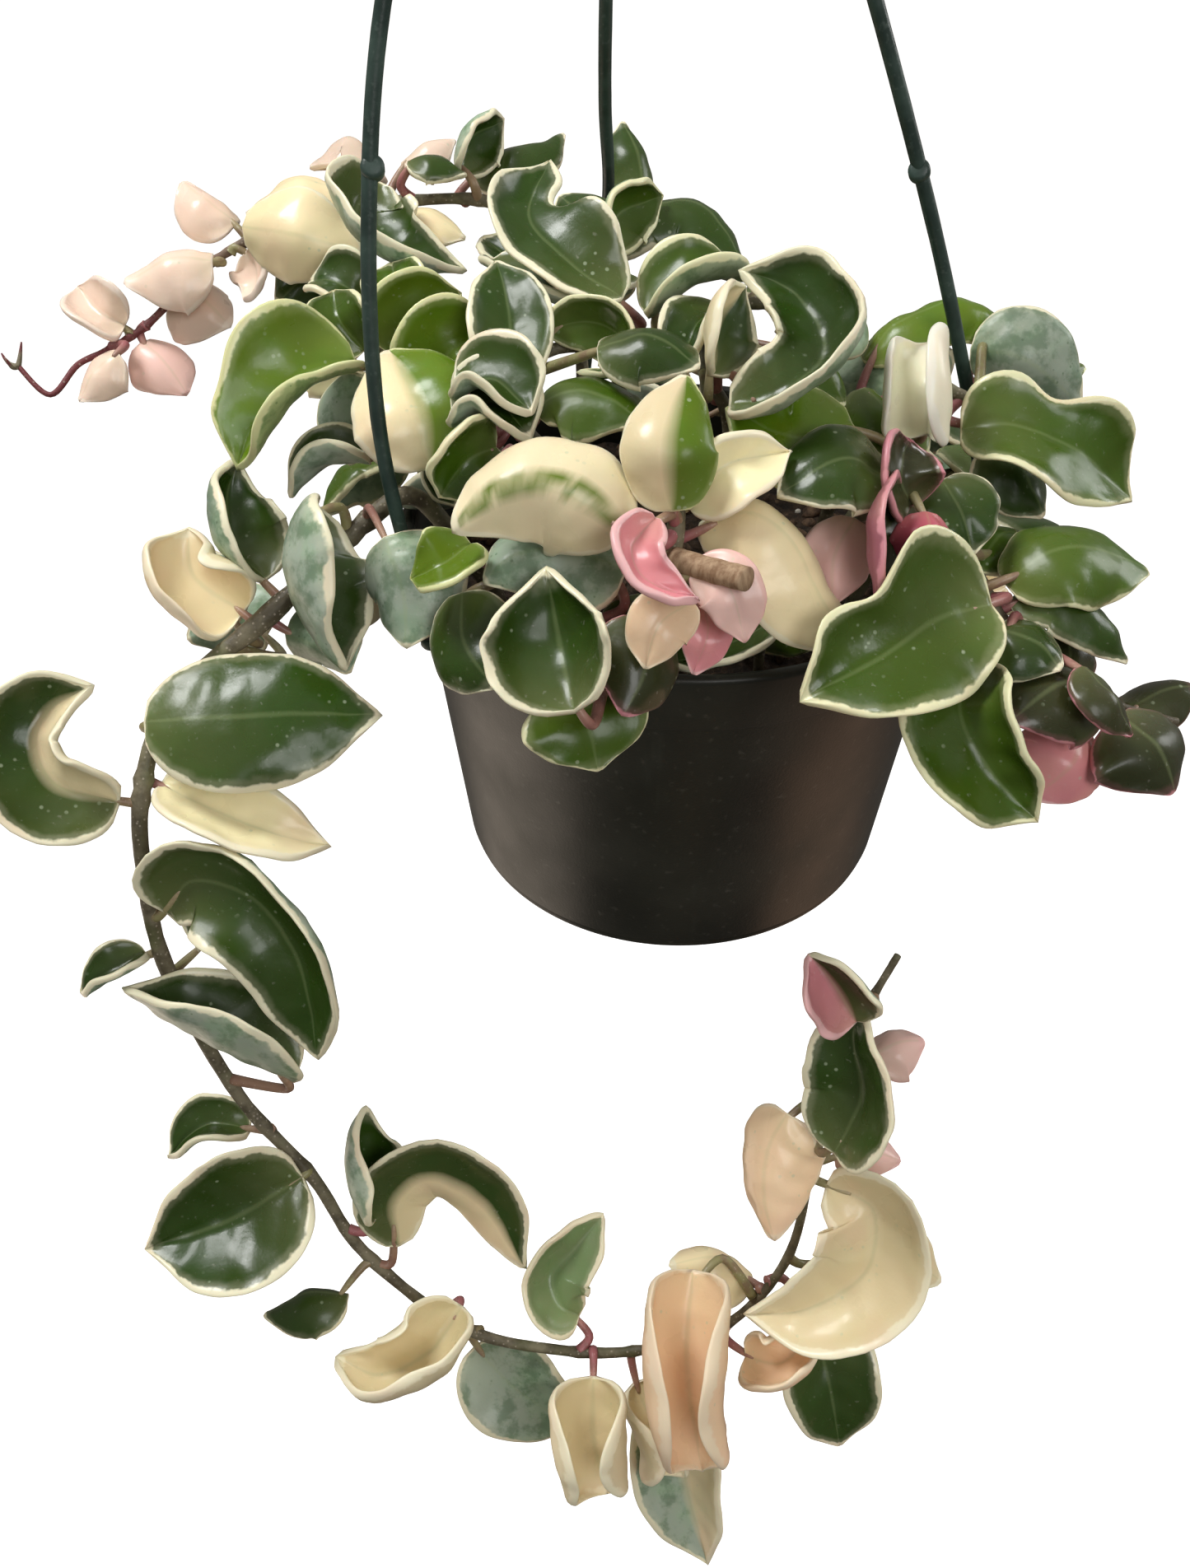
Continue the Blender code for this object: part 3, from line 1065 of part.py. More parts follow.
def main():
    clear_scene()
    group = make_collection("hindu_rope_plant")
    cutters = make_collection("cutters")
    cutters.hide_render = True
    stems = all_stems()
    roots = [(course[0].x, course[0].y, radii[0]) for course, radii, _ in stems.values()]
    pot = build_pot(group, cutters)
    soil = build_soil(group, cutters, roots)
    strands = [build_strand(side, group, cutters) for side in LUG_ANGLES]
    hook = build_hook(group, cutters)
    plastic = make_material("pot_plastic", (0.035, 0.04, 0.034), 0.42)
    green_plastic = make_material("hanger_plastic", (0.03, 0.075, 0.06), 0.45)
    mix = make_material("potting_mix", (0.05, 0.035, 0.025), 0.95)
    shade(pot, plastic, True)
    shade(soil, mix, False)
    for item in strands + [hook]:
        shade(item, green_plastic, True)
    settled = settle_all(stems)
    for index, (name, (course, radii, _)) in enumerate(stems.items()):
        tone = 0.9 + 0.02 * (index % 5)
        material = make_material(name + "_leaf", (0.16 * tone, 0.30 * tone, 0.12 * tone), 0.35)
        item = build_leafy(name, course, radii, settled[name], group, cutters)
        shade(item, material, False)


main()
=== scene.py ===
"""Looks of the hindu rope plant: fine leaves, stems, potting mix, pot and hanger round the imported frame.

Metres, +Z up, origin where the hook takes the load. Plant sizes are in millimetres from the rim's centre.
"""
import json
import math
import random

import bmesh
import bpy
from mathutils import Matrix, Vector, noise
from mathutils.bvhtree import BVHTree

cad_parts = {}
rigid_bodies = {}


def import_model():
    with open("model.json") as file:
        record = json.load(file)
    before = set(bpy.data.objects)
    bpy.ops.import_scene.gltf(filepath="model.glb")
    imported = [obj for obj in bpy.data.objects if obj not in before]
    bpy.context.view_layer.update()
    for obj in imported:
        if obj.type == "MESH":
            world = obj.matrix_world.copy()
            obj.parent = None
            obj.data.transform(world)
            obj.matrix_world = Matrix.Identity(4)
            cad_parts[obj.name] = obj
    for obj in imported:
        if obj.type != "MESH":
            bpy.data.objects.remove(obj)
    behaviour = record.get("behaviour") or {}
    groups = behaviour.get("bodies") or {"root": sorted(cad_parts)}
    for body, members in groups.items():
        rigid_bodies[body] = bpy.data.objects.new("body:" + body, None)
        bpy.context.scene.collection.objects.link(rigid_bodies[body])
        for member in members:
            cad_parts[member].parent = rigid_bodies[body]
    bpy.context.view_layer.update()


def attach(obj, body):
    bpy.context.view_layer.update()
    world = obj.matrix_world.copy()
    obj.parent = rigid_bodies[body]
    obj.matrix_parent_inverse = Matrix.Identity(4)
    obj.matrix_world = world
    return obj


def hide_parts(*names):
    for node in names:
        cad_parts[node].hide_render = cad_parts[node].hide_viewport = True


# Pot, millimetres from the centre of the rim
MM = 0.001
RIM_CENTRE = Vector((18.0, 3.0, -295.0))
RIM_RADIUS = 77.5
LIP_LOW_RADIUS = 75.2
LIP_HEIGHT = 17.5
WALL_TOP_RADIUS = 73.4
BASE_RADIUS = 64.0
POT_HEIGHT = 107.7
WALL = 1.6
GAP = 0.3
POT_SIDES = 160
SHARP_EDGE = math.radians(38)
DRAIN_RADIUS = 4.5
DRAIN_COUNT = 8
DRAIN_REACH = 48.0
LUG_ANGLES = {"left": -126.0, "back": -20.0, "right": 96.0}
LUG_REACH = 81.0
LUG_LEVEL = -4.0
LUG_HEIGHT = 5.0

# Potting mix
SOIL_DROP = 13.0
SOIL_RADIUS = 70.0
SOIL_SIDES = 120
SOIL_RINGS = 46
CHIPS = 420
CHIP_SIDES = 7

# Hanger
STRAND_REACH = 81.5
STRAND_RADIUS = 1.7
NUB_RADIUS = 2.5
HUB_RADIUS = 9.0
HUB_TOP = -39.0
HUB_HEIGHT = 12.0
HOOK_ROD = 2.2
HOOK_INNER = 12.0

# Front view
VIEW_TILT = math.radians(41.57)
RIGHT = Vector((1.0, 0.0, 0.0))
UP = Vector((0.0, math.sin(VIEW_TILT), math.cos(VIEW_TILT)))
NEAR = Vector((0.0, -math.cos(VIEW_TILT), math.sin(VIEW_TILT)))
EYE = RIGHT * -24.6 + UP * -75.6 + NEAR * 384.2
IMAGE_HEIGHT = 1904.0
FOCAL_PIXELS = 1700.0
SENSOR_WIDTH = 36.0

# Blades and stalks as solids, which are set clear of one another
BLADE = 1.2
STATIONS = 40
MIDRIB_SAMPLES = 80
SHOULDER = 0.22
POINT_START = 0.7
CLEARANCE = 0.3
PETIOLE = 1.0
EASE_STEPS = 16
FOOT_STEP = Vector((0.11, 0.07, 0.05))
SEED = 7

# Leaf flesh, stalks and stems as seen
COLUMNS = 21
FLESH = 0.8
MARGIN_SWELL = 0.25
MARGIN_START = 0.86
LUMP = 1.1
RIPPLE = 0.9
QUILT = 0.20
GROOVE = 0.30
VEIN_STEP = 8.5
STALK = 1.25
STALK_SIDES = 12
STEM_SIDES = 16
BUD_AIMS = (Vector((-1, 0.1, 0.2)), Vector((-0.4, -0.8, 0.2)), Vector((0.2, 0.6, 0.7)))
SEED_LOOKS = 11
LEAF_SLOT, STEM_SLOT, STALK_SLOT, DRY_SLOT = range(4)

# Room
FLOOR_HEIGHT = -1.25
FLOOR_REACH = 14.0
FLOOR_GLOW = 0.75
WORLD_LOW = 0.10
WORLD_HIGH = 0.44

# Leaf colours by word: upper face, rim, underside, and how close to the margin (0 to 1) the rim starts
TINTS = {
    "green": ((0.026, 0.056, 0.005), (0.84, 0.80, 0.58), (0.38, 0.45, 0.36), 0.905),
    "wide": ((0.028, 0.060, 0.006), (0.88, 0.82, 0.58), (0.34, 0.41, 0.30), 0.74),
    "leaf": ((0.052, 0.098, 0.005), (0.80, 0.79, 0.50), (0.32, 0.40, 0.26), 0.915),
    "pale": ((0.21, 0.27, 0.13), (0.84, 0.78, 0.56), (0.26, 0.34, 0.23), 0.90),
    "striped": ((0.88, 0.76, 0.50), (0.92, 0.85, 0.62), (0.84, 0.72, 0.48), 0.88),
    "bright": ((0.110, 0.185, 0.006), (0.74, 0.76, 0.40), (0.34, 0.42, 0.18), 0.925),
    "cream": ((0.88, 0.74, 0.46), (0.92, 0.85, 0.62), (0.84, 0.72, 0.46), 0.88),
    "white": ((0.90, 0.85, 0.68), (0.92, 0.89, 0.76), (0.86, 0.80, 0.62), 0.88),
    "peach": ((0.84, 0.60, 0.39), (0.90, 0.75, 0.54), (0.82, 0.58, 0.38), 0.88),
    "shell": ((0.88, 0.68, 0.55), (0.92, 0.78, 0.66), (0.84, 0.60, 0.50), 0.88),
    "blush": ((0.82, 0.54, 0.48), (0.84, 0.52, 0.48), (0.78, 0.48, 0.44), 0.88),
    "pink": ((0.72, 0.27, 0.30), (0.82, 0.48, 0.48), (0.64, 0.20, 0.25), 0.88),
    "magenta": ((0.48, 0.07, 0.13), (0.66, 0.20, 0.26), (0.42, 0.06, 0.12), 0.88),
    "dusk": ((0.034, 0.036, 0.012), (0.62, 0.26, 0.30), (0.30, 0.09, 0.12), 0.925),
}
HIDDEN_TINTS = "green wide leaf green cream green"
BASE_TINT = (0.45, 0.46, 0.20)

# Stems on the sides that the front view hides: heading in degrees, reach past the rim, hang, leaves
HIDDEN_STEMS = {
    "back_right_stem": (48, 14, 40, 7),
    "back_stem": (8, 12, 46, 7),
    "side_left_stem": (-64, 13, 40, 6),
    "side_right_stem": (84, 12, 36, 5),
}

# Dry cut end of an old stem, seen from the front
DRY_STUB = ((-8, -24, 74), (-5, -28, 83), (7, -33, 93))

# Stems seen from the front: course, radius at root and tip, leaves in opposite pairs along it, and the leaves'
# colour words in the same order, left and right half where they differ. A leaf's row is what leaf() takes.
STEMS = {
    "front_cream_stem": dict(
        course=[(-10, -36, 36), (-9, -34, 56), (-8, -28, 74), (-7, -20, 80), (-7, -15, 80)],
        radii=(2.2, 1.8),
        tints="striped cream/bright cream cream pink blush peach pink",
        leaves=[
            ([(-18, -23, 87), (-26, -14, 93), (-36, -10, 95), (-46, -13, 92), (-55, -22, 86)], (0, 0.15, 1),
             35, (42, -4), (38, 72), -0.05, 1.0),
            ([(-8, -17, 84), (-9, -4, 92), (-5, 12, 84)], (0, 0, 1), 23, -5, 70),
            ([(-5, -17, 88), (3, -10, 93), (17, -5, 87)], (0.05, -0.3, 1), 17, -22, -25, 0.25),
            ([(-3, -22, 85), (7, -19, 90), (17, -25, 90), (23, -36, 87), (32, -48, 80)], (0.2, 0.35, 0.95),
             25, (10, 5), (90, 35), 0.25),
            ([(-12, -20, 90), (-17, -27, 95), (-14, -34, 97), (-3, -38, 95)], (0.4, 0.2, 1), 14, -15, -60),
            ([(-4, -31, 91), (3, -35, 95), (7, -46, 90)], (-0.1, 0.1, 1), 14, -10, 40),
            ([(-4, -37, 86), (-11, -42, 89), (-14, -51, 86)], (0.3, 0.2, 0.9), 14, -10, 40),
            ([(-2, -36, 88), (-1, -44, 91), (-4, -52, 87)], (0.2, 0.1, 1), 11, -10, 40),
        ],
    ),
    "front_green_stem": dict(
        course=[(-36, -36, 34), (-44, -26, 56), (-46, -26, 66), (-38, -32, 70), (-29, -40, 68),
                (-23, -55, 70)],
        radii=(2.0, 1.4),
        tints="green green bright green dusk green leaf",
        leaves=[
            ([(-29, -60, 88), (-31, -53, 80), (-33, -42, 77), (-35, -29, 85)], (-0.25, 0.1, 1), 40, -14,
             (-55, -75), 0.0, 1.5),
            ([(-18, -30, 80), (-30, -23, 84), (-42, -24, 84), (-49, -32, 79)], (0, 0.1, -1), 32, -10, -70),
            ([(-52, -23, 74), (-58, -28, 79), (-65, -31, 76)], (-0.1, 0.5, 0.9), 17, -15, -20),
            ([(-54, -33, 72), (-55, -44, 76), (-46, -55, 79)], (-0.4, 0.05, 0.95), 26, 8, 45),
            ([(-15, -39, 82), (-13, -50, 86), (-19, -61, 84)], (0.15, 0.05, 1), 28, 10, 55),
            ([(-18, -35, 80), (-14, -40, 85), (-13, -49, 82)], (0.3, 0.2, 0.9), 22, 10, 60),
            ([(-31, -56, 86), (-27, -63, 90), (-24, -73, 87)], (0, 0.2, 1), 27, -8, 20),
        ],
    ),
    "right_vine": dict(
        course=[(44, -28, 14), (50, -16, 40), (56, -14, 56), (63, -26, 60), (70, -38, 59), (82, -48, 57),
                (93, -55, 55), (104, -59, 53), (114, -61, 50)],
        radii=(2.2, 1.4),
        tints="leaf leaf green leaf green dusk pink dusk dusk dusk dusk green leaf",
        leaves=[
            ([(63, -36, 75), (50, -40, 80), (36, -49, 84), (19, -58, 86)], (-0.05, 0.25, 1), 37, -8,
             (10, -60), 0.1, 3.5, 0, (0.5, -1, 0.28)),
            ([(70, -30, 62), (79, -23, 66), (92, -22, 62), (106, -26, 54)], (0, 0.55, 0.9), 28, 5, 48, 0,
             1.5),
            ([(70, -35, 65), (79, -32, 69), (90, -38, 67), (98, -48, 61)], (0.1, 0.7, 0.75), 20, 15, 50),
            ([(61, -49, 71), (56, -60, 76), (62, -73, 78), (73, -84, 76)], (0, 0.1, 1), 30, (-25, -5),
             (-80, -30), 0.0),
            ([(68, -41, 63), (75, -40, 68), (81, -50, 67)], (0.2, 0.4, 0.9), 26, 10, 65),
            ([(91, -52, 62), (79, -51, 71), (68, -62, 71)], (0, 0.55, 0.85), 34, 10, 85),
            ([(88, -62, 58), (84, -71, 64), (76, -79, 60)], (0.1, 0.05, 1), 28, 8, 55),
            ([(98, -60, 55), (104, -67, 61), (110, -78, 57)], (0.2, 0.1, 1), 32, 8, 40, 0, 1.5),
            ([(103, -58, 51), (108, -48, 55), (119, -53, 49)], (0.2, 0.7, 0.7), 26, 12, 90),
            ([(87, -51, 50), (93, -45, 53), (88, -38, 48)], (0, 0, 1), 20, 10, 60),
            ([(86, -49, 65), (91, -55, 72), (97, -65, 67)], (0.6, 0.3, 0.75), 16, 12, 60),
            ([(55, -6, 63), (58, -15, 69), (61, -24, 67)], (0, 0.1, 1), 20, -15, 50),
            ([(77, -18, 55), (70, -11, 62), (61, -28, 66)], (0, 0.6, 0.8), 22, 10, 60),
        ],
    ),
    "trailing_vine_left": dict(
        course=[(-50, -24, 22), (-58, -16, 30), (-69, -5, 40), (-80, -11, 42), (-104, -34, 42),
                (-127, -55, 44), (-134, -77, 46), (-136, -98, 38), (-134, -124, 25), (-121, -160, 5),
                (-103, -185, -5), (-90, -208, -12), (-63, -232, -19), (-35, -239, -20), (-11, -239, -20),
                (13, -231, -18), (29, -209, -8), (34, -180, 4), (36, -158, 12), (42, -139, 20),
                (47, -130, 24), (52, -119, 30)],
        radii=(2.6, 1.1),
        tints="green green/cream cream green green green green green green green green/cream pale green "
              "cream green cream cream peach cream green/cream cream peach green peach cream green "
              "pink/green blush blush green green green cream green green green",
        leaves=[
            ([(-132, -61, 50), (-115, -60, 53), (-96, -59, 51), (-76, -59, 45)], (0, 0.25, 1), 35, 2, 24, 0,
             1.2),
            ([(-139, -80, 47), (-153, -76, 50), (-158, -66, 50), (-154, -57, 50), (-144, -52, 50)],
             (0.3, 0.1, 1), 30, (-5, -35), (-45, -75), -0.1),
            ([(-130, -76, 44), (-116, -82, 48), (-101, -88, 47), (-89, -91, 42)], (0.15, 0.5, 0.85), 22, -14,
             -30),
            ([(-131, -108, 36), (-123, -99, 40), (-107, -104, 42), (-97, -121, 38), (-95, -146, 28)],
             (-0.2, -0.25, 1), 35, (-10, -15), (-75, -40), -0.05, 1.0),
            ([(-104, -154, 13), (-117, -150, 19), (-131, -141, 25), (-144, -127, 31)], (0.25, 1, 0.42), 44,
             -32, -62),
            ([(-139, -119, 27), (-146, -123, 31), (-155, -129, 29)], (-0.3, 0.7, 0.7), 15, -20, -40),
            ([(-129, -119, 16), (-122, -114, 14), (-113, -117, 10)], (0, 0.8, 0.5), 22, -20, -90),
            ([(-105, -184, -2), (-124, -195, 0), (-147, -202, 4)], (-0.1, 0.15, 1), 43, -20, (-20, -45), 0,
             1.5),
            ([(-121, -172, -7), (-133, -171, -7), (-144, -181, -9)], (0, 0.7, 0.7), 17, -15, -50),
            ([(-86, -197, -9), (-94, -184, -8), (-96, -172, -5), (-88, -165, -5)], (0.75, 0.1, 0.65), 36,
             -10, -120),
            ([(-80, -206, -12), (-81, -191, -9), (-70, -182, -8), (-56, -191, -11), (-44, -214, -15)],
             (0.1, 0.2, 1), 25, (-15, 25), (-30, 45), 0.0, 0.8),
            ([(-29, -229, -20), (-43, -229, -18), (-48, -219, -20), (-36, -210, -20), (-22, -200, -21)],
             (0.3, 0.3, 1), 27, (-20, -20), (-60, -40), 0, 1.5),
            ([(-94, -220, -10), (-105, -217, -8), (-118, -226, -11)], (0, 1, 0.3), 26, 20, 80),
            ([(-62, -223, -11), (-71, -235, -8), (-85, -240, -5), (-97, -235, -6)], (0.1, 0.55, 0.8), 40,
             -15, -115),
            ([(-60, -241, -27), (-46, -255, -29), (-29, -267, -32)], (-0.1, 0.3, -1), 30, 8, 15, 0, 1.0),
            ([(-25, -244, -14), (-25, -260, -13), (-21, -278, -15)], (-0.1, 0.05, 1), 52, -8, -145),
            ([(-13, -249, -21), (-8, -263, -21), (-9, -278, -24)], (0.45, 0.0, 0.9), 38, -8, -135),
            ([(3, -212, -9), (1, -237, -5), (6, -270, -12)], (-0.05, 0, 1), 56, (-14, -8), (-140, -135)),
            ([(20, -217, -14), (10, -204, -9), (-4, -211, -9)], (-0.1, 0.8, 0.6), 28, 20, 70),
            ([(0, -250, -27), (2, -280, -29), (9, -307, -31)], (0.1, 0.1, -1), 32, 18, 40),
            ([(38, -184, 5), (50, -190, 8), (49, -208, 4), (33, -219, 2), (16, -221, 0)], (0, 0.1, 1), 36,
             (-20, -15), (-45, -35), 0.0, 1.0),
            ([(27, -164, 8), (14, -169, 12), (13, -184, 11), (24, -199, 6)], (-0.5, 0.1, 0.85), 40, 20, 75),
            ([(37, -227, -16), (42, -246, -15), (46, -267, -20)], (0.15, -0.05, 1), 29, -12, -22, 0, 1.0),
            ([(18, -238, -13), (28, -238, -9), (38, -228, -9)], (0.1, 0.6, 0.8), 28, -15, -100),
            ([(50, -210, -11), (61, -207, -9), (73, -217, -13)], (0, 0.4, 0.9), 22, 10, 50, 0, 2.5),
            ([(38, -172, 19), (45, -166, 22), (52, -157, 23), (46, -146, 25), (40, -140, 26),
             (44, -132, 27)], (-0.75, 0.25, 0.6), 38, (-15, -10), (-50, -40), 0.1, 1.5),
            ([(43, -137, 22), (36, -126, 25), (30, -119, 26)], (-0.4, 0.3, 0.9), 26, -20, -70, 0, 1.5),
            ([(49, -148, 14), (56, -139, 17), (63, -144, 13)], (0.2, 0.7, 0.7), 24, 20, 75),
            ([(41, -178, 0), (50, -174, 1), (60, -180, -3)], (0.2, 0.4, 0.9), 22, 20, 60),
            ([(-106, -26, 40), (-117, -17, 39), (-119, -4, 37), (-113, 5, 37)], (0.7, 0.1, 0.7), 34, -15,
             (-100, -85)),
            ([(-92, -8, 46), (-102, -16, 48), (-103, -31, 50), (-93, -44, 52), (-83, -49, 55)],
             (0.95, 0.15, 0.2), 50, -12, (-100, -85)),
            ([(-76, -15, 40), (-67, -30, 47), (-70, -47, 41)], (0.1, 0, -1), 42, -8, -75),
            ([(-112, -33, 36), (-123, -24, 40), (-125, -12, 38)], (0.65, -0.2, 0.8), 40, -10, -125),
            ([(-116, -35, 26), (-133, -27, 27), (-133, -12, 25)], (0.8, -0.1, -0.4), 34, -10, -80),
            ([(-101, -38, 37), (-90, -41, 41), (-85, -48, 37)], (0, 0.5, -0.8), 24, -15, -60),
            ([(-107, -38, 32), (-116, -35, 33), (-128, -39, 29)], (0, 0.8, -0.5), 22, -15, -50),
        ],
    ),
    "right_middle_stem": dict(
        course=[(26, -30, 18), (34, -20, 46), (40, -10, 60), (44, -6, 66)],
        radii=(2.0, 1.5),
        tints="green bright leaf dusk dusk blush magenta",
        leaves=[
            ([(41, -8, 73), (29, -5, 79), (15, -13, 79)], (0, 0.4, 0.95), 24, -5, 45, 0, 1.0),
            ([(35, 8, 60), (20, 3, 66), (5, 10, 65)], (0, 0.35, 1), 27, -8, 25, 0, 2.5),
            ([(39, 18, 53), (46, 12, 59), (44, -2, 61)], (0.5, 0.2, 0.85), 26, 10, 75),
            ([(46, -13, 69), (42, -7, 73), (46, 2, 69)], (0.2, 0.1, 1), 20, -10, -60),
            ([(44, -13, 74), (35, -24, 81), (39, -41, 83)], (0.6, 0.05, 0.85), 32, -10, (-50, -80)),
            ([(33, -17, 74), (25, -25, 78), (28, -36, 75)], (0.2, -0.2, -1), 26, -10, -80),
            ([(49, -15, 71), (50, -21, 75), (50, -30, 72)], (0.2, 0, 1), 21, 10, 80),
        ],
    ),
    "right_upper_stem": dict(
        course=[(34, -8, 10), (40, 8, 34), (48, 18, 42), (58, 21, 44), (67, 18, 42), (76, 16, 38)],
        radii=(2.0, 1.5),
        tints="leaf bright pale white green leaf leaf green",
        leaves=[
            ([(63, 9, 49), (74, 9, 54), (90, 3, 52), (106, -7, 43)], (0, 0.4, 1), 30, (-10, -5), (-40, -15),
             0.0, 2.5, 0, (0.4, 1, 0.35)),
            ([(43, 31, 31), (54, 41, 34), (70, 45, 32), (91, 34, 24)], (0, 0.75, 0.7), 22, 10, 75),
            ([(39, 14, 44), (46, 27, 48), (64, 31, 38)], (-0.2, 0.1, -1), 36, -8, -55),
            ([(54, 7, 53), (50, 17, 56), (55, 29, 52)], (-0.9, 0.1, 0.3), 34, -10, -130),
            ([(70, 34, 32), (82, 30, 37), (99, 21, 28)], (0, 0.5, -0.9), 26, -10, -40),
            ([(80, 35, 24), (90, 34, 28), (102, 32, 22)], (0, 0.9, 0.4), 20, 12, 60),
            ([(50, 13, 52), (42, 6, 57), (38, -4, 57)], (-0.4, 0.3, 0.9), 24, 12, 70),
            ([(72, 8, 40), (80, 0, 42), (86, -10, 38)], (0.2, 0.3, 0.9), 24, 10, 50),
        ],
    ),
    "left_mound_stem": dict(
        course=[(-44, 2, 14), (-52, 8, 42), (-64, 12, 44), (-71, 20, 36), (-78, 34, 22), (-82, 46, 14)],
        radii=(2.2, 1.6),
        tints="bright cream/bright bright bright leaf green leaf cream green green",
        leaves=[
            ([(-84, 29, 36), (-96, 23, 42), (-105, 12, 44), (-112, 1, 42)], (-0.05, 0.35, 1), 34, (-22, -15),
             (-85, -45), 0.05, 2.5, 0, (0.3, 1, 0.3)),
            ([(-63, -2, 57), (-65, 11, 61), (-74, 28, 50)], (0.1, 0.1, 1), 34, -22, 70),
            ([(-76, 33, 30), (-69, 42, 33), (-58, 48, 32)], (0.1, -0.2, 1), 24, -10, -35),
            ([(-64, 21, 44), (-59, 29, 48), (-50, 32, 45)], (0.1, -0.1, 1), 26, -8, -40),
            ([(-73, 46, 17), (-76, 54, 20), (-78, 61, 17)], (0, -0.1, 1), 20, -12, -40),
            ([(-87, 53, 11), (-93, 57, 13), (-101, 59, 9)], (0, 0.4, 0.9), 20, -12, -50),
            ([(-85, 38, 17), (-91, 45, 20), (-93, 54, 17)], (-0.2, 0.1, 1), 19, -12, -45),
            ([(-88, 30, 22), (-95, 36, 24), (-104, 38, 18)], (-0.2, 0.5, 0.8), 24, 12, 70),
            ([(-80, 4, 38), (-91, 4, 38), (-101, -4, 36)], (-0.1, 0.8, 0.5), 20, -15, -70),
            ([(-78, 22, 40), (-84, 14, 38), (-86, 4, 34)], (-0.2, 0.2, -0.9), 22, -12, -50),
        ],
    ),
    "back_mound_stem": dict(
        course=[(-12, 6, -20), (-18, 32, 6), (-24, 50, 14), (-26, 62, 10), (-20, 75, 2), (-12, 88, -6)],
        radii=(2.1, 1.5),
        tints="green green green green leaf green green",
        leaves=[
            ([(-18, 42, 44), (-30, 50, 44), (-41, 64, 38), (-36, 83, 27)], (0.3, 0.1, 1), 27, -8, -38, 0.12,
             2.5, 0, (0.72, -1, 0.45)),
            ([(-22, 63, 22), (-28, 72, 20), (-34, 80, 14)], (-0.2, 0.2, 0.95), 22, 12, 45),
            ([(-11, 90, -8), (-13, 101, -8), (-17, 112, -12)], (0.5, 0, 0.9), 22, 15, 80),
            ([(-20, 63, 16), (-14, 74, 17), (-1, 77, 17), (9, 69, 19), (15, 57, 20)], (0, 0.75, 0.7), 26, 10,
             70),
            ([(-21, 66, 12), (-20, 77, 10), (-6, 84, 5)], (0.7, -0.3, 0.7), 22, -10, -70),
            ([(-51, 60, 22), (-35, 46, 36), (-16, 38, 43)], (0.2, 0.6, 0.8), 24, -10, -60),
            ([(-30, 56, 10), (-44, 62, 8), (-56, 74, 2)], (-0.2, 0.7, 0.7), 24, -12, -50),
        ],
    ),
    "front_mound_stem": dict(
        course=[(-28, -8, 26), (-37, 4, 44), (-44, 13, 50), (-38, 27, 48), (-27, 30, 46), (-15, 28, 46)],
        radii=(2.0, 1.4),
        tints="green leaf leaf green green leaf green green",
        leaves=[
            ([(-45, 19, 49), (-45, 35, 47), (-49, 54, 39)], (0.12, 0, 1), 21, -8, -22),
            ([(-37, 8, 64), (-41, 20, 66), (-32, 26, 68), (-21, 18, 71), (-14, 4, 72)], (0, 0.55, 0.9), 28,
             8, 60),
            ([(-36, 33, 50), (-21, 34, 55), (-9, 25, 60), (-14, 14, 62), (-26, 15, 60)], (-0.5, -0.6, 0.7),
             22, -5, -30),
            ([(-57, 16, 55), (-48, 18, 59), (-39, 9, 63)], (0, 0.65, 0.8), 24, -12, -60),
            ([(-57, 8, 61), (-48, 11, 65), (-39, 2, 67)], (0, 0.65, 0.8), 24, -12, -60),
            ([(-47, 1, 66), (-55, -2, 69), (-60, -11, 68)], (0, 0.4, 0.95), 22, -12, -60),
            ([(-54, 0, 60), (-60, -6, 58), (-58, -16, 58)], (-0.4, 0.2, 0.9), 20, -12, -70),
            ([(-24, 24, 62), (-12, 26, 66), (-1, 18, 68)], (0.1, 0.5, 0.9), 24, 12, 60),
        ],
    ),
    "right_mound_stem": dict(
        course=[(10, -2, 20), (8, 12, 42), (2, 24, 46), (4, 38, 40), (16, 44, 36), (28, 40, 36)],
        radii=(2.0, 1.4),
        tints="green cream/green green green leaf green leaf green",
        leaves=[
            ([(6, 11, 64), (19, 13, 68), (28, 24, 64), (22, 38, 58), (9, 45, 56)], (-0.4, 0.25, 1), 30,
             (-15, -10), (-60, -70), 0.1, 2.5),
            ([(2, 19, 60), (1, 31, 60), (10, 41, 58)], (0.75, -0.1, 0.6), 26, -15, -70),
            ([(32, 30, 42), (36, 40, 43), (29, 51, 37)], (-0.2, 0.1, -1), 30, -8, -60),
            ([(6, 38, 50), (0, 31, 56), (-5, 19, 60)], (-0.4, 0.3, 0.9), 20, -15, -60),
            ([(-12, 38, 44), (1, 46, 47), (13, 48, 41)], (0, 0.8, 0.6), 26, -10, -70),
            ([(-14, 50, 34), (-24, 52, 38), (-36, 46, 38)], (0, 0.7, 0.7), 22, 12, 60),
            ([(22, 28, 52), (30, 22, 58), (33, 12, 58)], (0.5, 0.3, 0.8), 24, 12, 70),
            ([(14, 46, 36), (26, 56, 30), (36, 54, 24)], (0.1, 0.8, 0.6), 24, 10, 70),
        ],
    ),
    "back_left_vine": dict(
        course=[(-28, 33, -32), (-30, 60, -20), (-43, 79, -6), (-55, 86, -4), (-76, 87, -6), (-99, 86, -10),
                (-123, 78, -12), (-138, 69, -14), (-152, 55, -14), (-163, 47, -12), (-171, 43, -12),
                (-178, 34, -10), (-187, 42, -10)],
        radii=(2.2, 0.8),
        tints="green green shell green shell cream cream shell shell shell shell shell shell blush green "
              "cream green",
        leaves=[
            ([(-59, 97, -12), (-48, 102, -8), (-33, 109, -14)], (-0.2, 0.9, 0.4), 28, 15, 95),
            ([(-62, 93, -3), (-60, 103, -4), (-50, 111, -8)], (0.8, -0.3, 0.5), 22, -15, -80),
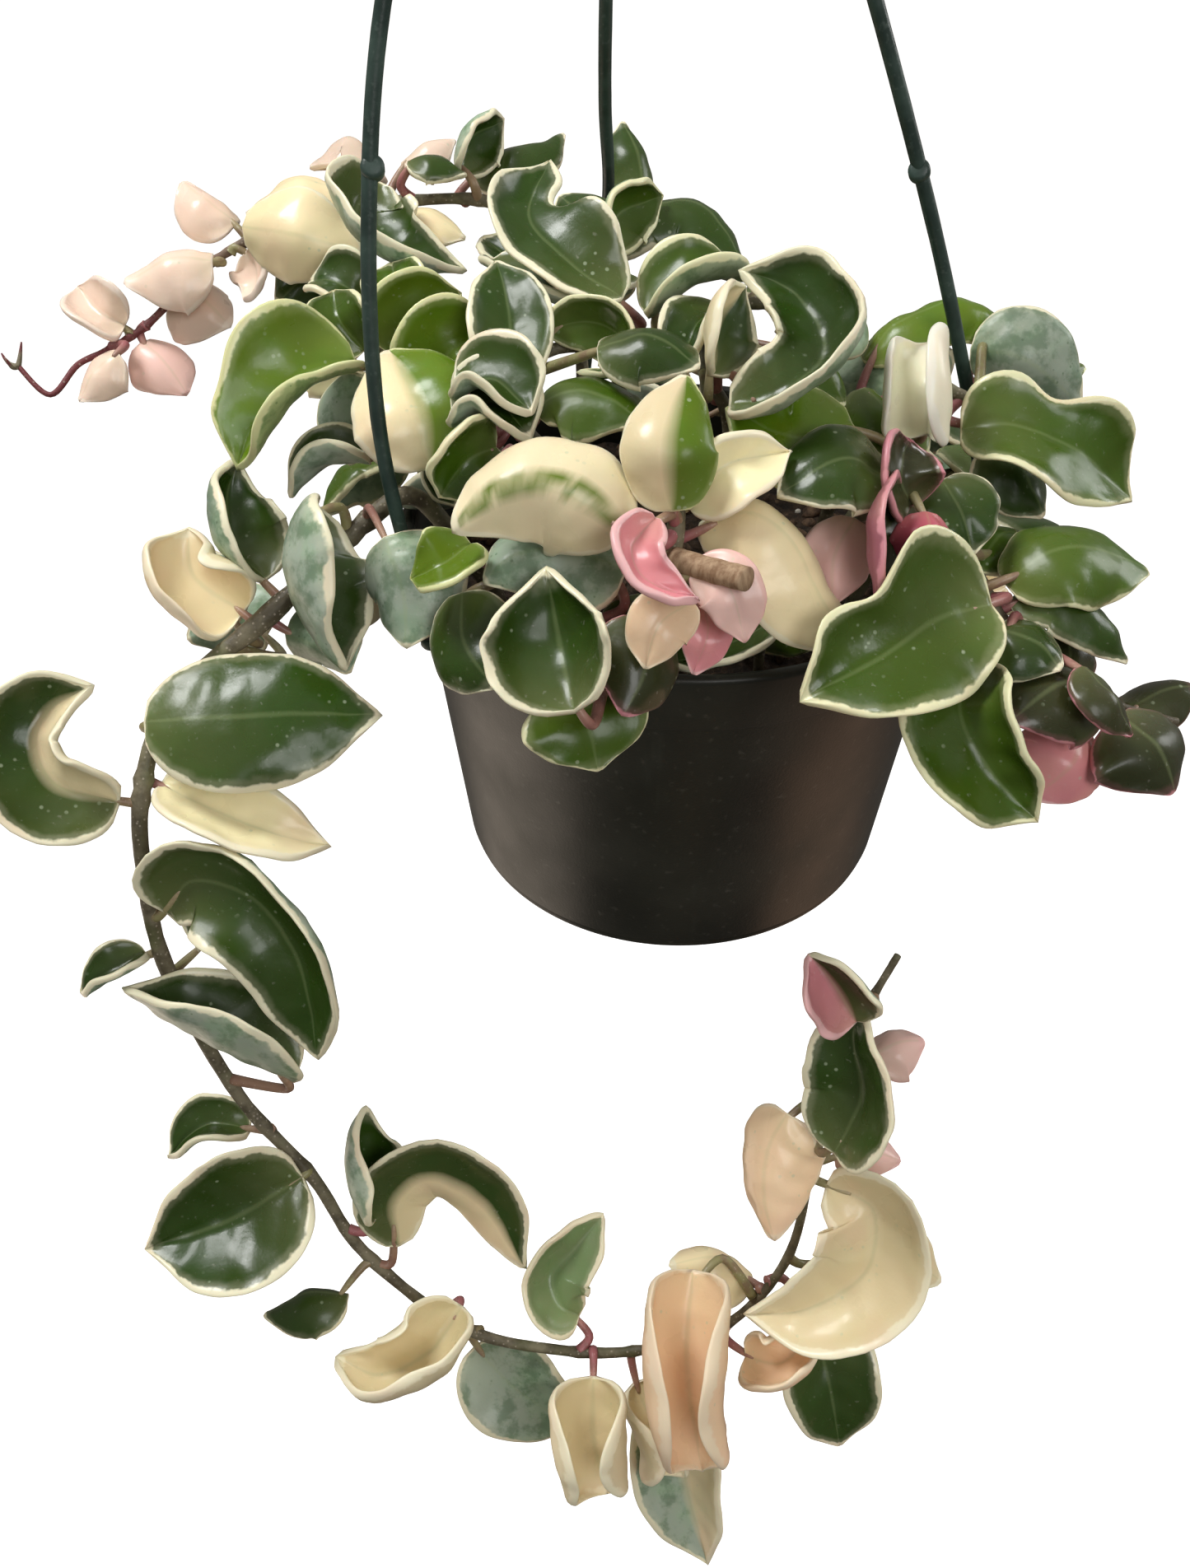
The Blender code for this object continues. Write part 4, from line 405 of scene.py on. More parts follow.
            ([(-79, 99, -11), (-72, 107, -9), (-64, 107, -13)], (-0.1, 0.8, 0.6), 24, 15, 90),
            ([(-76, 95, -1), (-69, 98, 1), (-60, 92, -2)], (0, 0.9, 0.4), 20, 20, 70),
            ([(-84, 96, -12), (-94, 107, -12), (-106, 100, -16)], (-0.1, 0.9, 0.3), 24, 15, 70),
            ([(-122, 84, -9), (-108, 91, -3), (-89, 87, -4)], (0, 0.7, 0.75), 34, 10, 65),
            ([(-122, 79, -5), (-107, 77, 2), (-88, 71, -3)], (0.1, 0.1, 1), 30, 10, 50),
            ([(-127, 84, -15), (-135, 90, -13), (-143, 97, -17)], (0.3, 0.5, 0.8), 22, 15, 60),
            ([(-123, 75, -12), (-111, 74, -11), (-111, 63, -11), (-124, 61, -11)], (-0.9, 0.2, 0.5), 20, -5,
             -40),
            ([(-132, 71, -9), (-143, 73, -4), (-157, 65, -10)], (-0.1, 0.4, 0.9), 32, 12, 75),
            ([(-140, 64, -9), (-134, 59, -5), (-127, 53, -10)], (0.2, 0.3, 0.9), 30, 12, 70),
            ([(-158, 54, -13), (-164, 57, -11), (-172, 66, -15)], (-0.3, 0.5, 0.8), 20, -15, -60),
            ([(-158, 45, -8), (-164, 43, -6), (-170, 32, -10)], (-0.3, 0.2, 0.9), 22, 15, 80),
            ([(-154, 50, -15), (-146, 43, -13), (-141, 35, -15)], (0.3, 0.2, 0.9), 22, 12, 55),
            ([(-84, 89, 2), (-89, 78, 6), (-79, 65, 9), (-59, 63, 7)], (0.5, 0.5, 0.7), 33, (-15, -10),
             (-65, -70)),
            ([(-79, 81, -1), (-70, 80, 3), (-60, 73, 2)], (0.1, 0.7, 0.7), 24, 10, 95),
            ([(-100, 82, -14), (-106, 72, -16), (-116, 62, -18)], (-0.1, -0.1, 1), 24, 12, 40),
        ],
    ),
    "front_low_stem": dict(
        course=[(16, -44, 38), (15, -38, 42), (14, -35, 44)],
        radii=(1.6, 1.2),
        tints="green leaf green",
        leaves=[
            ([(18, -37, 46), (6, -43, 48), (-8, -47, 47)], (0, 0.6, 0.8), 18, -12, -40),
            ([(13, -36, 46), (20, -36, 49), (29, -43, 46)], (0, 0.6, 0.8), 18, 12, 50),
            ([(12, -33, 44), (2, -30, 46), (-8, -34, 46)], (0, 0.6, 0.8), 18, 12, 50),
        ],
    ),
}


def seen(right, up, near):
    """A point or direction of the plant given on the front view's axes."""
    return RIGHT * right + UP * up + NEAR * near


def placed(point):
    """Millimetres from the rim centre to metres from the hook."""
    return (Vector(point) + RIM_CENTRE) * MM


def rim_spot(angle, radius, height):
    turn = math.radians(angle)
    return Vector((math.sin(turn) * radius, math.cos(turn) * radius, height))


def leaf(midrib, face, width, fold=-15, curl=-20, skew=0.0, wave=0.0, twist=0.0, pinch=None):
    """One leaf: midrib points from base to tip, upper side towards face at mid leaf, millimetres and degrees.

    fold and curl turn each half blade away from the face (below zero, towards it); a pair gives left and right.
    pinch narrows one half blade: where along it, which half (1 or -1), how much.
    """
    pair = [value if isinstance(value, tuple) else (value, value) for value in (fold, curl)]
    return dict(midrib=[seen(*point) for point in midrib], face=seen(*face), width=width, fold=pair[0],
                curl=pair[1], skew=skew, wave=wave, twist=twist, pinch=pinch)


# Courses, rings and bands
def spline(p0, p1, p2, p3, t):
    """Smooth curve from p1 to p2, with the points before and after them."""
    return 0.5 * (2 * p1 + (p2 - p0) * t + (2 * p0 - 5 * p1 + 4 * p2 - p3) * t * t
                  + (3 * p1 - p0 - 3 * p2 + p3) * t ** 3)


def curve_point(points, share):
    """Point on the smooth curve through the points, share from 0 to 1."""
    spot = share * (len(points) - 1)
    i = min(int(spot), len(points) - 2)
    p1, p2 = points[i], points[i + 1]
    p0 = points[i - 1] if i > 0 else 2 * p1 - p2
    p3 = points[i + 2] if i + 2 < len(points) else 2 * p2 - p1
    return spline(p0, p1, p2, p3, spot - i)


def smoothed(course, steps):
    """Rounder course through the same points."""
    points, last = [], len(course) - 1
    for i in range(last):
        near = course[max(i - 1, 0)], course[i], course[i + 1], course[min(i + 2, last)]
        points += [spline(*near, k / steps) for k in range(steps)]
    return points + [course[-1]]


def running_lengths(points):
    lengths = [0.0]
    for a, b in zip(points, points[1:]):
        lengths.append(lengths[-1] + (b - a).length)
    return lengths


def heading_at(points, i):
    return (points[min(i + 1, len(points) - 1)] - points[max(i - 1, 0)]).normalized()


def square_to(direction, axis):
    """The direction turned square to an axis."""
    return (direction - axis * direction.dot(axis)).normalized()


def ring(point, first, second, radius, sides):
    """Points round a centre, from the first direction towards the second."""
    turns = [2.0 * math.pi * k / sides for k in range(sides)]
    return [point + (first * math.cos(turn) + second * math.sin(turn)) * radius for turn in turns]


def rim_rings(profile, sides, centre=Vector()):
    """Level rings round an upright axis, one for each (radius, height)."""
    return [centre + rim_spot(360.0 * k / sides, radius, height)
            for radius, height in profile for k in range(sides)]


def bands(count, sides):
    """Quads between rings that follow one another."""
    return [(i + k, i + (k + 1) % sides, i + sides + (k + 1) % sides, i + sides + k)
            for i in range(0, (count - 1) * sides, sides) for k in range(sides)]


def capped(vertices, sides, first, last):
    """Rings closed by one more point at each end."""
    count = len(vertices)
    faces = bands(count // sides, sides)
    for a in range(sides):
        b = (a + 1) % sides
        faces += [(count, b, a), (count + 1, count - sides + a, count - sides + b)]
    return vertices + [first, last], faces


def cut_faces(faces, lower=math.inf):
    """Faces cut into triangles; those of the lower sheet, from that vertex on, mirror the upper ones."""
    cut = []
    for face in faces:
        if min(face) >= lower:
            face = face[-1:] + face[:-1]
        cut += [(face[0], face[i], face[i + 1]) for i in range(1, len(face) - 1)]
    return cut


# Blades
def blade_frames(spec):
    """Even stations along the midrib: point, direction ahead and upper side, carried from mid leaf."""
    raw = [curve_point(spec["midrib"], k / MIDRIB_SAMPLES) for k in range(MIDRIB_SAMPLES + 1)]
    lengths = running_lengths(raw)
    points, j = [], 0
    for k in range(STATIONS + 1):
        goal = lengths[-1] * k / STATIONS
        while j < MIDRIB_SAMPLES - 1 and lengths[j + 1] < goal:
            j += 1
        points.append(raw[j].lerp(raw[j + 1], min(1.0, (goal - lengths[j]) / (lengths[j + 1] - lengths[j]))))
    ahead = [heading_at(points, k) for k in range(STATIONS + 1)]
    middle = STATIONS // 2
    out = {middle: square_to(spec["face"], ahead[middle])}
    for k in range(middle + 1, STATIONS + 1):
        out[k] = square_to(out[k - 1], ahead[k])
    for k in range(middle - 1, -1, -1):
        out[k] = square_to(out[k + 1], ahead[k])
    return points, ahead, out, lengths[-1]


def half_width(spec, u, hand):
    """Width of one half blade at u: round-shouldered near the base, drawn out to a point at the tip."""
    shape = math.sin(math.pi * min(1.0, u ** 0.8)) ** 0.66
    point = max(0.0, min(1.0, (u - POINT_START) / 0.2))
    shape += (3.0 * (1.0 - u) - shape) * point * point * (3.0 - 2.0 * point)
    if spec["pinch"] and spec["pinch"][1] == hand:
        shape *= 1.0 - spec["pinch"][2] * math.exp(-((u - spec["pinch"][0]) / 0.13) ** 2)
    return 0.53 * spec["width"] * shape * (1.0 - hand * spec["skew"])


def blade_point(spec, frames, k, v):
    """Point and upper normal of the blade at station k and v across (-1 to 1)."""
    points, ahead, out, _ = frames
    u = k / STATIONS
    hand = 1.0 if v >= 0.0 else -1.0
    pick = 0 if v >= 0.0 else 1
    outward = Matrix.Rotation(math.radians(spec["twist"]) * (u - 0.5), 3, ahead[k]) @ out[k]
    side = outward.cross(ahead[k])
    reach = half_width(spec, u, hand)
    start = math.radians(spec["fold"][pick])
    turn = math.radians(spec["curl"][pick]) * (0.45 + 0.55 * math.sin(math.pi * u))
    end = start + turn * abs(v)
    if abs(turn) < 0.01:
        spread, drop = abs(v) * math.cos(start), abs(v) * math.sin(start)
    else:
        spread = (math.sin(end) - math.sin(start)) / turn
        drop = (math.cos(start) - math.cos(end)) / turn
    lift = spec["wave"] * v * v * math.sin(3.0 * math.pi * u + 1.3 * hand) * min(1.0, 3.0 * u, 4.0 * (1.0 - u))
    back = SHOULDER * reach * v * v * (1.0 - u) ** 3
    point = points[k] + side * (hand * spread * reach) + outward * (lift - drop * reach) - ahead[k] * back
    return point, side * (hand * math.sin(end)) + outward * math.cos(end)


def blade_faces(rows, columns):
    """Faces of a closed blade: an upper and a lower sheet of rows between pointed ends, and the edge."""
    count, last = rows * columns + 2, columns - 1
    starts = [1 + columns * i for i in range(rows)]
    faces = []

    def both(*corners):
        faces.append(corners)
        faces.append(tuple(i + count for i in reversed(corners)))

    for j in range(last):
        both(0, 1 + j, 2 + j)
        both(count - 1, starts[-1] + j + 1, starts[-1] + j)
        for start in starts[:-1]:
            a, b = start + j, start + j + columns
            both(a, b, b + 1, a + 1)
    edge = [0] + starts + [count - 1] + [i + last for i in reversed(starts)]
    for a, b in zip(edge, edge[1:] + edge[:1]):
        faces.append((b, a, a + count, b + count))
    return faces


def coarse_grid(spec):
    """Rows and columns of the solid's blade: fewer where it is small, more where it curls tightly."""
    if spec.get("tight"):
        return (5, 5) if spec["width"] > 25 else (4, 5)
    if spec["width"] < 25:
        return 3, 3
    if spec["width"] < 34:
        return 3, 5
    return 4, 5


def coarse_blade(spec, extra=0.0):
    """Closed thin shell of a blade in triangles, alike on both sides; extra thickness makes room round it."""
    rows, columns = coarse_grid(spec)
    frames, half = blade_frames(spec), (BLADE + extra) / 2.0
    upper, lower = [], []
    for i in range(rows + 2):
        k = round(STATIONS * i / (rows + 1))
        for v in [0.0] if i in (0, rows + 1) else [2.0 * j / (columns - 1) - 1.0 for j in range(columns)]:
            point, normal = blade_point(spec, frames, k, v)
            upper.append(spec["move"] @ (point + normal * half))
            lower.append(spec["move"] @ (point - normal * half))
    return upper + lower, cut_faces(blade_faces(rows, columns), len(upper))


def crosses_itself(mesh):
    vertices, faces = mesh
    tree = BVHTree.FromPolygons(vertices, faces)
    return any(i < j and not set(faces[i]) & set(faces[j]) for i, j in tree.overlap(tree))


def ease(spec):
    """A blade that crosses itself gets more faces, then is opened out in small steps until it is clear."""
    for _ in range(EASE_STEPS):
        if not crosses_itself(coarse_blade(spec)):
            return
        if not spec.get("tight"):
            spec["tight"] = True
            continue
        spec["curl"] = tuple(0.97 * value for value in spec["curl"])
        spec["width"] *= 0.98
        base, tip = spec["midrib"][0], spec["midrib"][-1]
        last = len(spec["midrib"]) - 1
        spec["midrib"] = [p.lerp(base.lerp(tip, i / last), 0.16) for i, p in enumerate(spec["midrib"])]


def leaf_solid(spec):
    """Blade and stalk as one closed shell: a square stalk opens into the blade's base."""
    columns = coarse_grid(spec)[1]
    vertices, faces = coarse_blade(spec)
    _, ahead, out, _ = blade_frames(spec)
    turn = spec["move"].to_3x3().normalized()
    up, forward = turn @ out[0], turn @ ahead[0]
    lower = len(vertices) // 2
    left_up, left_down, right_up, right_down = columns, lower + columns, 1, lower + 1
    faces = [f for f in faces if not {0, lower} <= set(f) and set(f) != {0, left_up, left_down}]
    centre = (vertices[0] + vertices[lower]) / 2.0
    foot, middle, _ = spec["route"]
    if (centre - middle).length < 3.0 * PETIOLE:
        middle = centre.lerp(foot, 0.5)
    along = (centre - foot).normalized()
    headings = ((forward + along).normalized() if forward.dot(along) > -0.8 else forward, along,
                (middle - foot).normalized())
    rings = []
    for point, heading in zip((centre, middle, foot), headings):
        up = square_to(up, heading)
        side = up.cross(heading)
        rings.append([point + up * PETIOLE, point - side * PETIOLE,
                      point - up * PETIOLE, point + side * PETIOLE])
    vertices[0], vertices[lower] = rings[0][0], rings[0][2]
    left, right = len(vertices) + 1, len(vertices)
    corners = [0, right, lower, left]
    vertices += [rings[0][1], rings[0][3]]
    faces += [(right_up, 0, right), (right_up, right, lower), (right_up, lower, right_down)]
    faces += [(0, left_up, left), (left, left_up, left_down), (left, left_down, lower)]
    for spots in rings[1:]:
        following = [len(vertices) + k for k in range(4)]
        vertices += spots
        for k in range(4):
            a, b = corners[k], corners[(k + 1) % 4]
            faces += [(b, a, following[k]), (b, following[k], following[(k + 1) % 4])]
        corners = following
    faces += [(corners[0], corners[3], corners[2]), (corners[0], corners[2], corners[1])]
    return vertices, faces


# Room: every blade and stalk is set clear of what is already there
def tube_mesh(points, radii, sides):
    """Open tube in triangles through the points."""
    vertices = []
    for i, (point, radius) in enumerate(zip(points, radii)):
        ahead = heading_at(points, i)
        first = ahead.orthogonal().normalized()
        vertices += ring(point, first, ahead.cross(first), radius, sides)
    return vertices, cut_faces(bands(len(points), sides))


def nearest_on(course, point):
    best = None
    for a, b in zip(course, course[1:]):
        share = max(0.0, min(1.0, (point - a).dot(b - a) / (b - a).length_squared))
        spot = a.lerp(b, share)
        if best is None or (spot - point).length < (best - point).length:
            best = spot
    return best


def petiole_routes(course, spec):
    """Ways for the leaf stalk to run from the stem into the blade's base."""
    points = blade_frames(spec)[0]
    base, inside = spec["move"] @ points[0], spec["move"] @ points[STATIONS // 10]
    heading = (base - inside).normalized()
    side = heading.orthogonal().normalized()
    other = heading.cross(side)
    for slide in (0, 5, -5, 10, -10):
        foot = nearest_on(course, base + RIGHT * slide) + FOOT_STEP * (spec["number"] % 5 - 2)
        reach = max(0.5, (base - foot).length)
        for shift in (heading * 0.3, side * 0.35, side * -0.35, other * 0.35, other * -0.35, Vector()):
            yield [foot, foot.lerp(base, 0.55) + shift * reach, inside]


class Room:
    """What is already there, and whose each face is."""

    def __init__(self):
        self.vertices, self.faces, self.owner = [], [], []
        self.tree = None

    def add(self, mesh, owner):
        vertices, faces = mesh
        start = len(self.vertices)
        self.vertices.extend(vertices)
        self.faces.extend(tuple(i + start for i in face) for face in faces)
        self.owner.extend([owner] * len(faces))
        self.tree = BVHTree.FromPolygons(self.vertices, self.faces)

    def touched(self, mesh):
        tree = BVHTree.FromPolygons(*mesh)
        return {self.owner[j] for _, j in tree.overlap(self.tree)}


def tweaks():
    """Small changes, least first: push along the line of sight, roll about the blade's axis, size."""
    found = []
    for size in (1.0, 0.93, 0.86, 0.78, 0.7):
        for push in (0, 2, -2, 4, -4, 6, -6, 9, -9, 12, -12, 16, -16, 20, -20):
            for roll in (0, 12, -12, 24, -24, 40, -40):
                cost = abs(push) + abs(roll) * 0.22 + (1.0 - size) * 45.0
                found.append((cost, push, roll, size))
    return [item[1:] for item in sorted(found)]


TWEAKS = tweaks()


def tweak_matrix(spec, push, roll, size):
    """Moves the leaf towards the eye by push, then rolls and scales it about its base."""
    base, tip = spec["midrib"][0], spec["midrib"][-1]
    near = Matrix.Scale(1.0 - push / (base - EYE).length, 4)
    moved = Matrix.Translation(EYE) @ near @ Matrix.Translation(-EYE)
    centre = moved @ base
    turn = Matrix.Rotation(math.radians(roll), 4, (tip - base).normalized())
    return Matrix.Translation(centre) @ turn @ Matrix.Scale(size, 4) @ Matrix.Translation(-centre) @ moved


def settle(room, node, course, spec):
    """First tweak with a clear blade and a clear stalk; a later try lets it meet its own stem's leaves."""
    own_stem, own_leaf = node + " stem", node + " leaf"
    spec["move"] = Matrix.Identity(4)
    ease(spec)
    vertices, faces = coarse_blade(spec, 2.0 * CLEARANCE)
    for allowed in (set(), {own_leaf}):
        for push, roll, size in TWEAKS:
            move = tweak_matrix(spec, push, roll, size)
            blade = [move @ v for v in vertices], faces
            if room.touched(blade) - allowed:
                continue
            spec["move"], spec["size"] = move, size
            for route in petiole_routes(course, spec):
                stalk = tube_mesh(route, [PETIOLE + 2.0 * CLEARANCE] * 3, 6)
                if room.touched(stalk) - allowed - {own_stem}:
                    continue
                spec["route"] = route
                if room.touched(leaf_solid(spec)) - allowed - {own_stem}:
                    continue
                room.add(blade, own_leaf)
                room.add(stalk, own_leaf)
                return True
    return False


def pot_outline():
    """Plain lathe that stands for the pot."""
    profile = ((RIM_RADIUS - 3.7, -8.0), (RIM_RADIUS - 3.7, 0.3), (RIM_RADIUS + 0.3, 0.3),
               (LIP_LOW_RADIUS + 0.3, -LIP_HEIGHT), (BASE_RADIUS + 0.6, -POT_HEIGHT))
    sides = 48
    return rim_rings(profile, sides), cut_faces(bands(len(profile), sides))


def settle_all(stems):
    """Pot, strands and stems first, then every leaf in turn; one that finds no room is left out."""
    room = Room()
    room.add(pot_outline(), "pot")
    for side, angle in LUG_ANGLES.items():
        lug = [rim_spot(angle, LUG_REACH, -0.5), rim_spot(angle, LUG_REACH, -13.0)]
        room.add(tube_mesh(lug, [6.2, 6.2], 12), "pot")
        course = smoothed(strand_course(side), 2)
        room.add(tube_mesh(course, [STRAND_RADIUS + 0.3] * len(course), 8), "strand")
    for name, (course, radii, _) in stems.items():
        room.add(tube_mesh(course, [r + CLEARANCE for r in stem_radii(course, radii)], 6), name + " stem")
    for name, (course, _, leaves) in stems.items():
        leaves[:] = [spec for spec in leaves if settle(room, name, course, spec)]


# Courses of strands and stems
def strand_course(side):
    """Course of a hanger strand from the lug's underside to the hub."""
    foot = rim_spot(LUG_ANGLES[side], STRAND_REACH, 0.0)
    low = [foot + Vector((0, 0, -11)), foot + Vector((0, 0, -1))]
    socket = {"left": (-22.6, -5.6), "back": (-18.6, 2.2), "right": (-12.8, -4.2)}[side]
    top = [Vector((*socket, height)) for height in (237, 241, 252)]
    middle = {
        "left": [(-70, -54, 27), (-73, -50, 54), (-72, -42, 90), (-66, -32, 131), (-50, -20, 180),
                 (-32, -10, 220)],
        "back": [(-25, 70, 32), (-21, 62, 62), (-22, 48, 90), (-22, 36, 117), (-21, 20, 170), (-19, 6, 222)],
        "right": [(75, -9, 20), (70, -9, 36), (55, -9, 77), (34, -9, 127), (10, -8, 180), (-8, -5, 224)],
    }[side]
    middle = [Vector(p) for p in middle]
    return low + [(foot + Vector((0, 0, 1))).lerp(middle[0], 0.25)] + middle + top


def strand_nubs(side):
    """Places of the small round moulding marks on a strand."""
    picks = {"left": [4], "back": [6], "right": [4, 5]}[side]
    course = strand_course(side)
    return [course[i + 1].lerp(course[i + 2], 0.3) for i in picks]


def stem_radii(course, radii):
    lengths = running_lengths(course)
    return [radii[0] + (radii[1] - radii[0]) * length / lengths[-1] for length in lengths]


def rule_stem(heading, reach, hang, count, rng):
    """A stem on a side that the front view hides: over the rim, then down, leaves in crossed pairs."""
    out = Vector((math.sin(math.radians(heading)), math.cos(math.radians(heading)), 0.0))
    side = Vector((out.y, -out.x, 0.0))
    rise = Vector((0.0, 0.0, 1.0))
    course = [out * 46 - rise * (SOIL_DROP + 5), out * 46 - rise * 8, out * 56 + rise * 3, out * 74 + rise * 6,
              out * (74 + reach * 0.6) + rise, out * (74 + reach) - rise * hang * 0.5,
              out * (76 + reach) - rise * hang]
    leaves = []
    for k in range(count):
        pair, hand = k // 2, 1.0 if k % 2 else -1.0
        share = 0.3 + 0.7 * pair / max(1, (count - 1) // 2)
        at = curve_point(course, share)
        aim = side * hand * rng.uniform(0.8, 1.1) if pair % 2 else out * 0.5 + side * hand * 0.9
        aim = (aim + out * rng.uniform(0.1, 0.5) - rise * 0.5 * share).normalized()
        size = rng.uniform(30, 38)
        face = (out * rng.uniform(0.5, 1.0) + rise * rng.uniform(0.3, 0.9)).normalized()
        cupped = rng.random() < 0.5
        bulge = -0.2 if cupped else 0.25
        base = at + aim * 8
        middle = base + aim * size * 0.5 + face * size * bulge
        leaves.append(dict(midrib=[base, middle, base + aim * size], face=face, width=size * 0.85,
                           fold=(-10, -10) if cupped else (12, 12), curl=(-80, -70) if cupped else (60, 50),
                           skew=0.0, wave=rng.uniform(0.0, 2.0), twist=rng.uniform(-20, 20), pinch=None))
    return course, (2.0, 1.2), leaves


def all_stems():
    """Course, radii and leaves of every stem, each leaf with its number and its colour words."""
    rng = random.Random(SEED)
    stems = {}
    for name, row in STEMS.items():
        course = [seen(*point) for point in row["course"]]
        foot = [Vector((course[0].x, course[0].y, rise - SOIL_DROP)) for rise in (-5.0, 5.0)]
        stems[name] = (foot + course[1:], row["radii"], [leaf(*values) for values in row["leaves"]])
    for name, rule in HIDDEN_STEMS.items():
        stems[name] = rule_stem(*rule, rng)
    for name, (_, _, leaves) in stems.items():
        words = (STEMS[name]["tints"] if name in STEMS else HIDDEN_TINTS).split()
        for number, spec in enumerate(leaves):
            spec.update(number=number, tint=words[number % len(words)])
    return stems


# Growing pieces
def linked(name, data):
    item = bpy.data.objects.new(name, data)
    bpy.context.scene.collection.objects.link(item)
    return item


def dress(piece, node, slot):
    """The piece rides with the plant and stands for a node of the frame."""
    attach(piece, "root")
    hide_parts(node)


class Shell:
    """Vertices, faces, material numbers and colours of one piece as it grows."""

    def __init__(self):
        self.vertices, self.faces, self.slots = [], [], []
        self.colours = {"skin": [], "rim": [], "form": [], "place": []}

    def add(self, vertices, faces, slot=0, **colours):
        start = len(self.vertices)
        self.vertices.extend(vertices)
        self.faces.extend(tuple(i + start for i in face) for face in faces)
        self.slots.extend([slot] * len(faces))
        for name, values in self.colours.items():
            values.extend(colours.get(name) or [(0.5, 0.5, 0.5, 1.0)] * len(vertices))

    def build(self, name, materials, node, slot):
        mesh = bpy.data.meshes.new(name)
        mesh.from_pydata([placed(v) for v in self.vertices], [], self.faces)
        for material in materials:
            mesh.materials.append(material)
        mesh.polygons.foreach_set("material_index", self.slots)
        mesh.polygons.foreach_set("use_smooth", [True] * len(self.faces))
        for attribute, values in self.colours.items():
            layer = mesh.color_attributes.new(attribute, "FLOAT_COLOR", "POINT")
            layer.data.foreach_set("color", [channel for value in values for channel in value])
        mesh.update()
        dress(linked(name, mesh), node, slot)


def lerp(a, b, t):
    return tuple(x + (y - x) * t for x, y in zip(a, b))


def across(j):
    """Place across the blade, -1 to 1, closer together towards both margins."""
    s = 2.0 * j / (COLUMNS - 1) - 1.0
    return math.copysign(1.0 - (1.0 - abs(s)) ** 1.6, s)


def flesh(u, v):
    """Half thickness: swells towards the margin, then rounds over at it and at the tip."""
    swell = 1.0 + MARGIN_SWELL * math.exp(-((abs(v) - 0.84) / 0.13) ** 2)
    over = max(0.0, (abs(v) - MARGIN_START) / (1.0 - MARGIN_START), (u - 0.95) / 0.05)
    return FLESH * swell * max(0.2, math.sqrt(max(0.0, 1.0 - over * over)))


def relief(point, u, v, length, shift, mark):
    """Low lumps, a rippled margin and quilting between the veins."""
    lump = LUMP * noise.noise(point * 0.08 + shift) + 0.35 * noise.noise(point * 0.21 + shift)
    ripple = RIPPLE * v ** 6 * noise.noise(Vector((u * 5.5, math.copysign(3.0, v), shift.z)))
    veins = math.sin(2.0 * math.pi * (u * length / VEIN_STEP - 1.2 * abs(v)))
    return lump + ripple + QUILT * mark * veins * (1.0 - v * v)


def leaf_colours(tint, side, u, v, tone, shift):
    """Skin, rim, how green the skin is and where the rim starts, on the upper (0) or lower (1) side."""
    left, right = [TINTS[word] for word in (tint.split("/") * 2)[:2]]
    share = 0.5 if abs(v) < 0.02 else (0.0 if v > 0.0 else 1.0)
    skin = lerp(left[2 * side], right[2 * side], share)
    skin = tuple(min(0.95, channel * tone) for channel in skin)
    green = float(skin[1] > skin[0])
    if tint == "striped" and side == 0:
        jag = 0.07 * noise.noise(Vector((u * 20.0, 0.0, shift.z)))
        skin = lerp(skin, TINTS["bright"][0], math.exp(-((v + 0.08 + jag) / 0.10) ** 4))
    skin = lerp(skin, BASE_TINT, 0.22 * (1.0 - u) ** 4)
    return (*skin, 1.0), (*lerp(left[1], right[1], share), 1.0), green, left[3] + (right[3] - left[3]) * share


def fine_leaf(shell, spec, rng):
    """Thick blade with rounded margins, low lumps and its colours, at full resolution."""
    frames = blade_frames(spec)
    length = frames[3]
    shift = Vector((rng.uniform(-50, 50), rng.uniform(-50, 50), rng.uniform(-50, 50)))
    tone, mark = rng.uniform(0.84, 1.16), rng.random()
    sheets = ([], [])
    paint = {name: ([], []) for name in shell.colours}
    for k in range(STATIONS + 1):
        u = k / STATIONS
        for j in range(COLUMNS) if 0 < k < STATIONS else (COLUMNS // 2,):
            v = across(j)
            point, normal = blade_point(spec, frames, k, v)
            middle = point + normal * relief(point, u, v, length, shift, mark)
            half, groove = flesh(u, v), -GROOVE * math.exp(-(v / 0.09) ** 2) * min(1.0, 5.0 * (1.0 - u))
            sheets[0].append(spec["move"] @ (middle + normal * (half + groove)))
            sheets[1].append(spec["move"] @ (middle - normal * (half - 0.6 * groove)))
            reach = half_width(spec, u, 1.0 if v >= 0.0 else -1.0)
            margin = min(reach * (1.0 - abs(v)), 0.8 * (1.0 - u) * length) / (0.5 * spec["width"])
            for side in (0, 1):
                skin, rim, green, start = leaf_colours(spec["tint"], side, u, v, tone, shift)
                paint["skin"][side].append(skin)
                paint["rim"][side].append(rim)
                paint["form"][side].append((1.0 - margin, float(side), 0.0, start))
                paint["place"][side].append((abs(v), green, 0.0, 1.0))
    shell.add(sheets[0] + sheets[1], blade_faces(STATIONS - 1, COLUMNS), LEAF_SLOT,
              **{name: upper + lower for name, (upper, lower) in paint.items()})


def fine_tube(shell, points, radii, sides, slot=0, mark=0.5):
    """Closed round tube with its ring directions carried along it."""
    vertices, last = [], len(points) - 1
    normal = (points[1] - points[0]).orthogonal().normalized()
    for i, point in enumerate(points):
        ahead = heading_at(points, i)
        normal = square_to(normal, ahead)
        vertices += ring(point, normal, ahead.cross(normal), radii[i], sides)
    form = [(i / last, mark, 0.0, 1.0) for i in range(last + 1) for _ in range(sides)]
    form += [(0.0, mark, 0.0, 1.0), (1.0, mark, 0.0, 1.0)]
    shell.add(*capped(vertices, sides, points[0], points[-1]), slot, form=form)


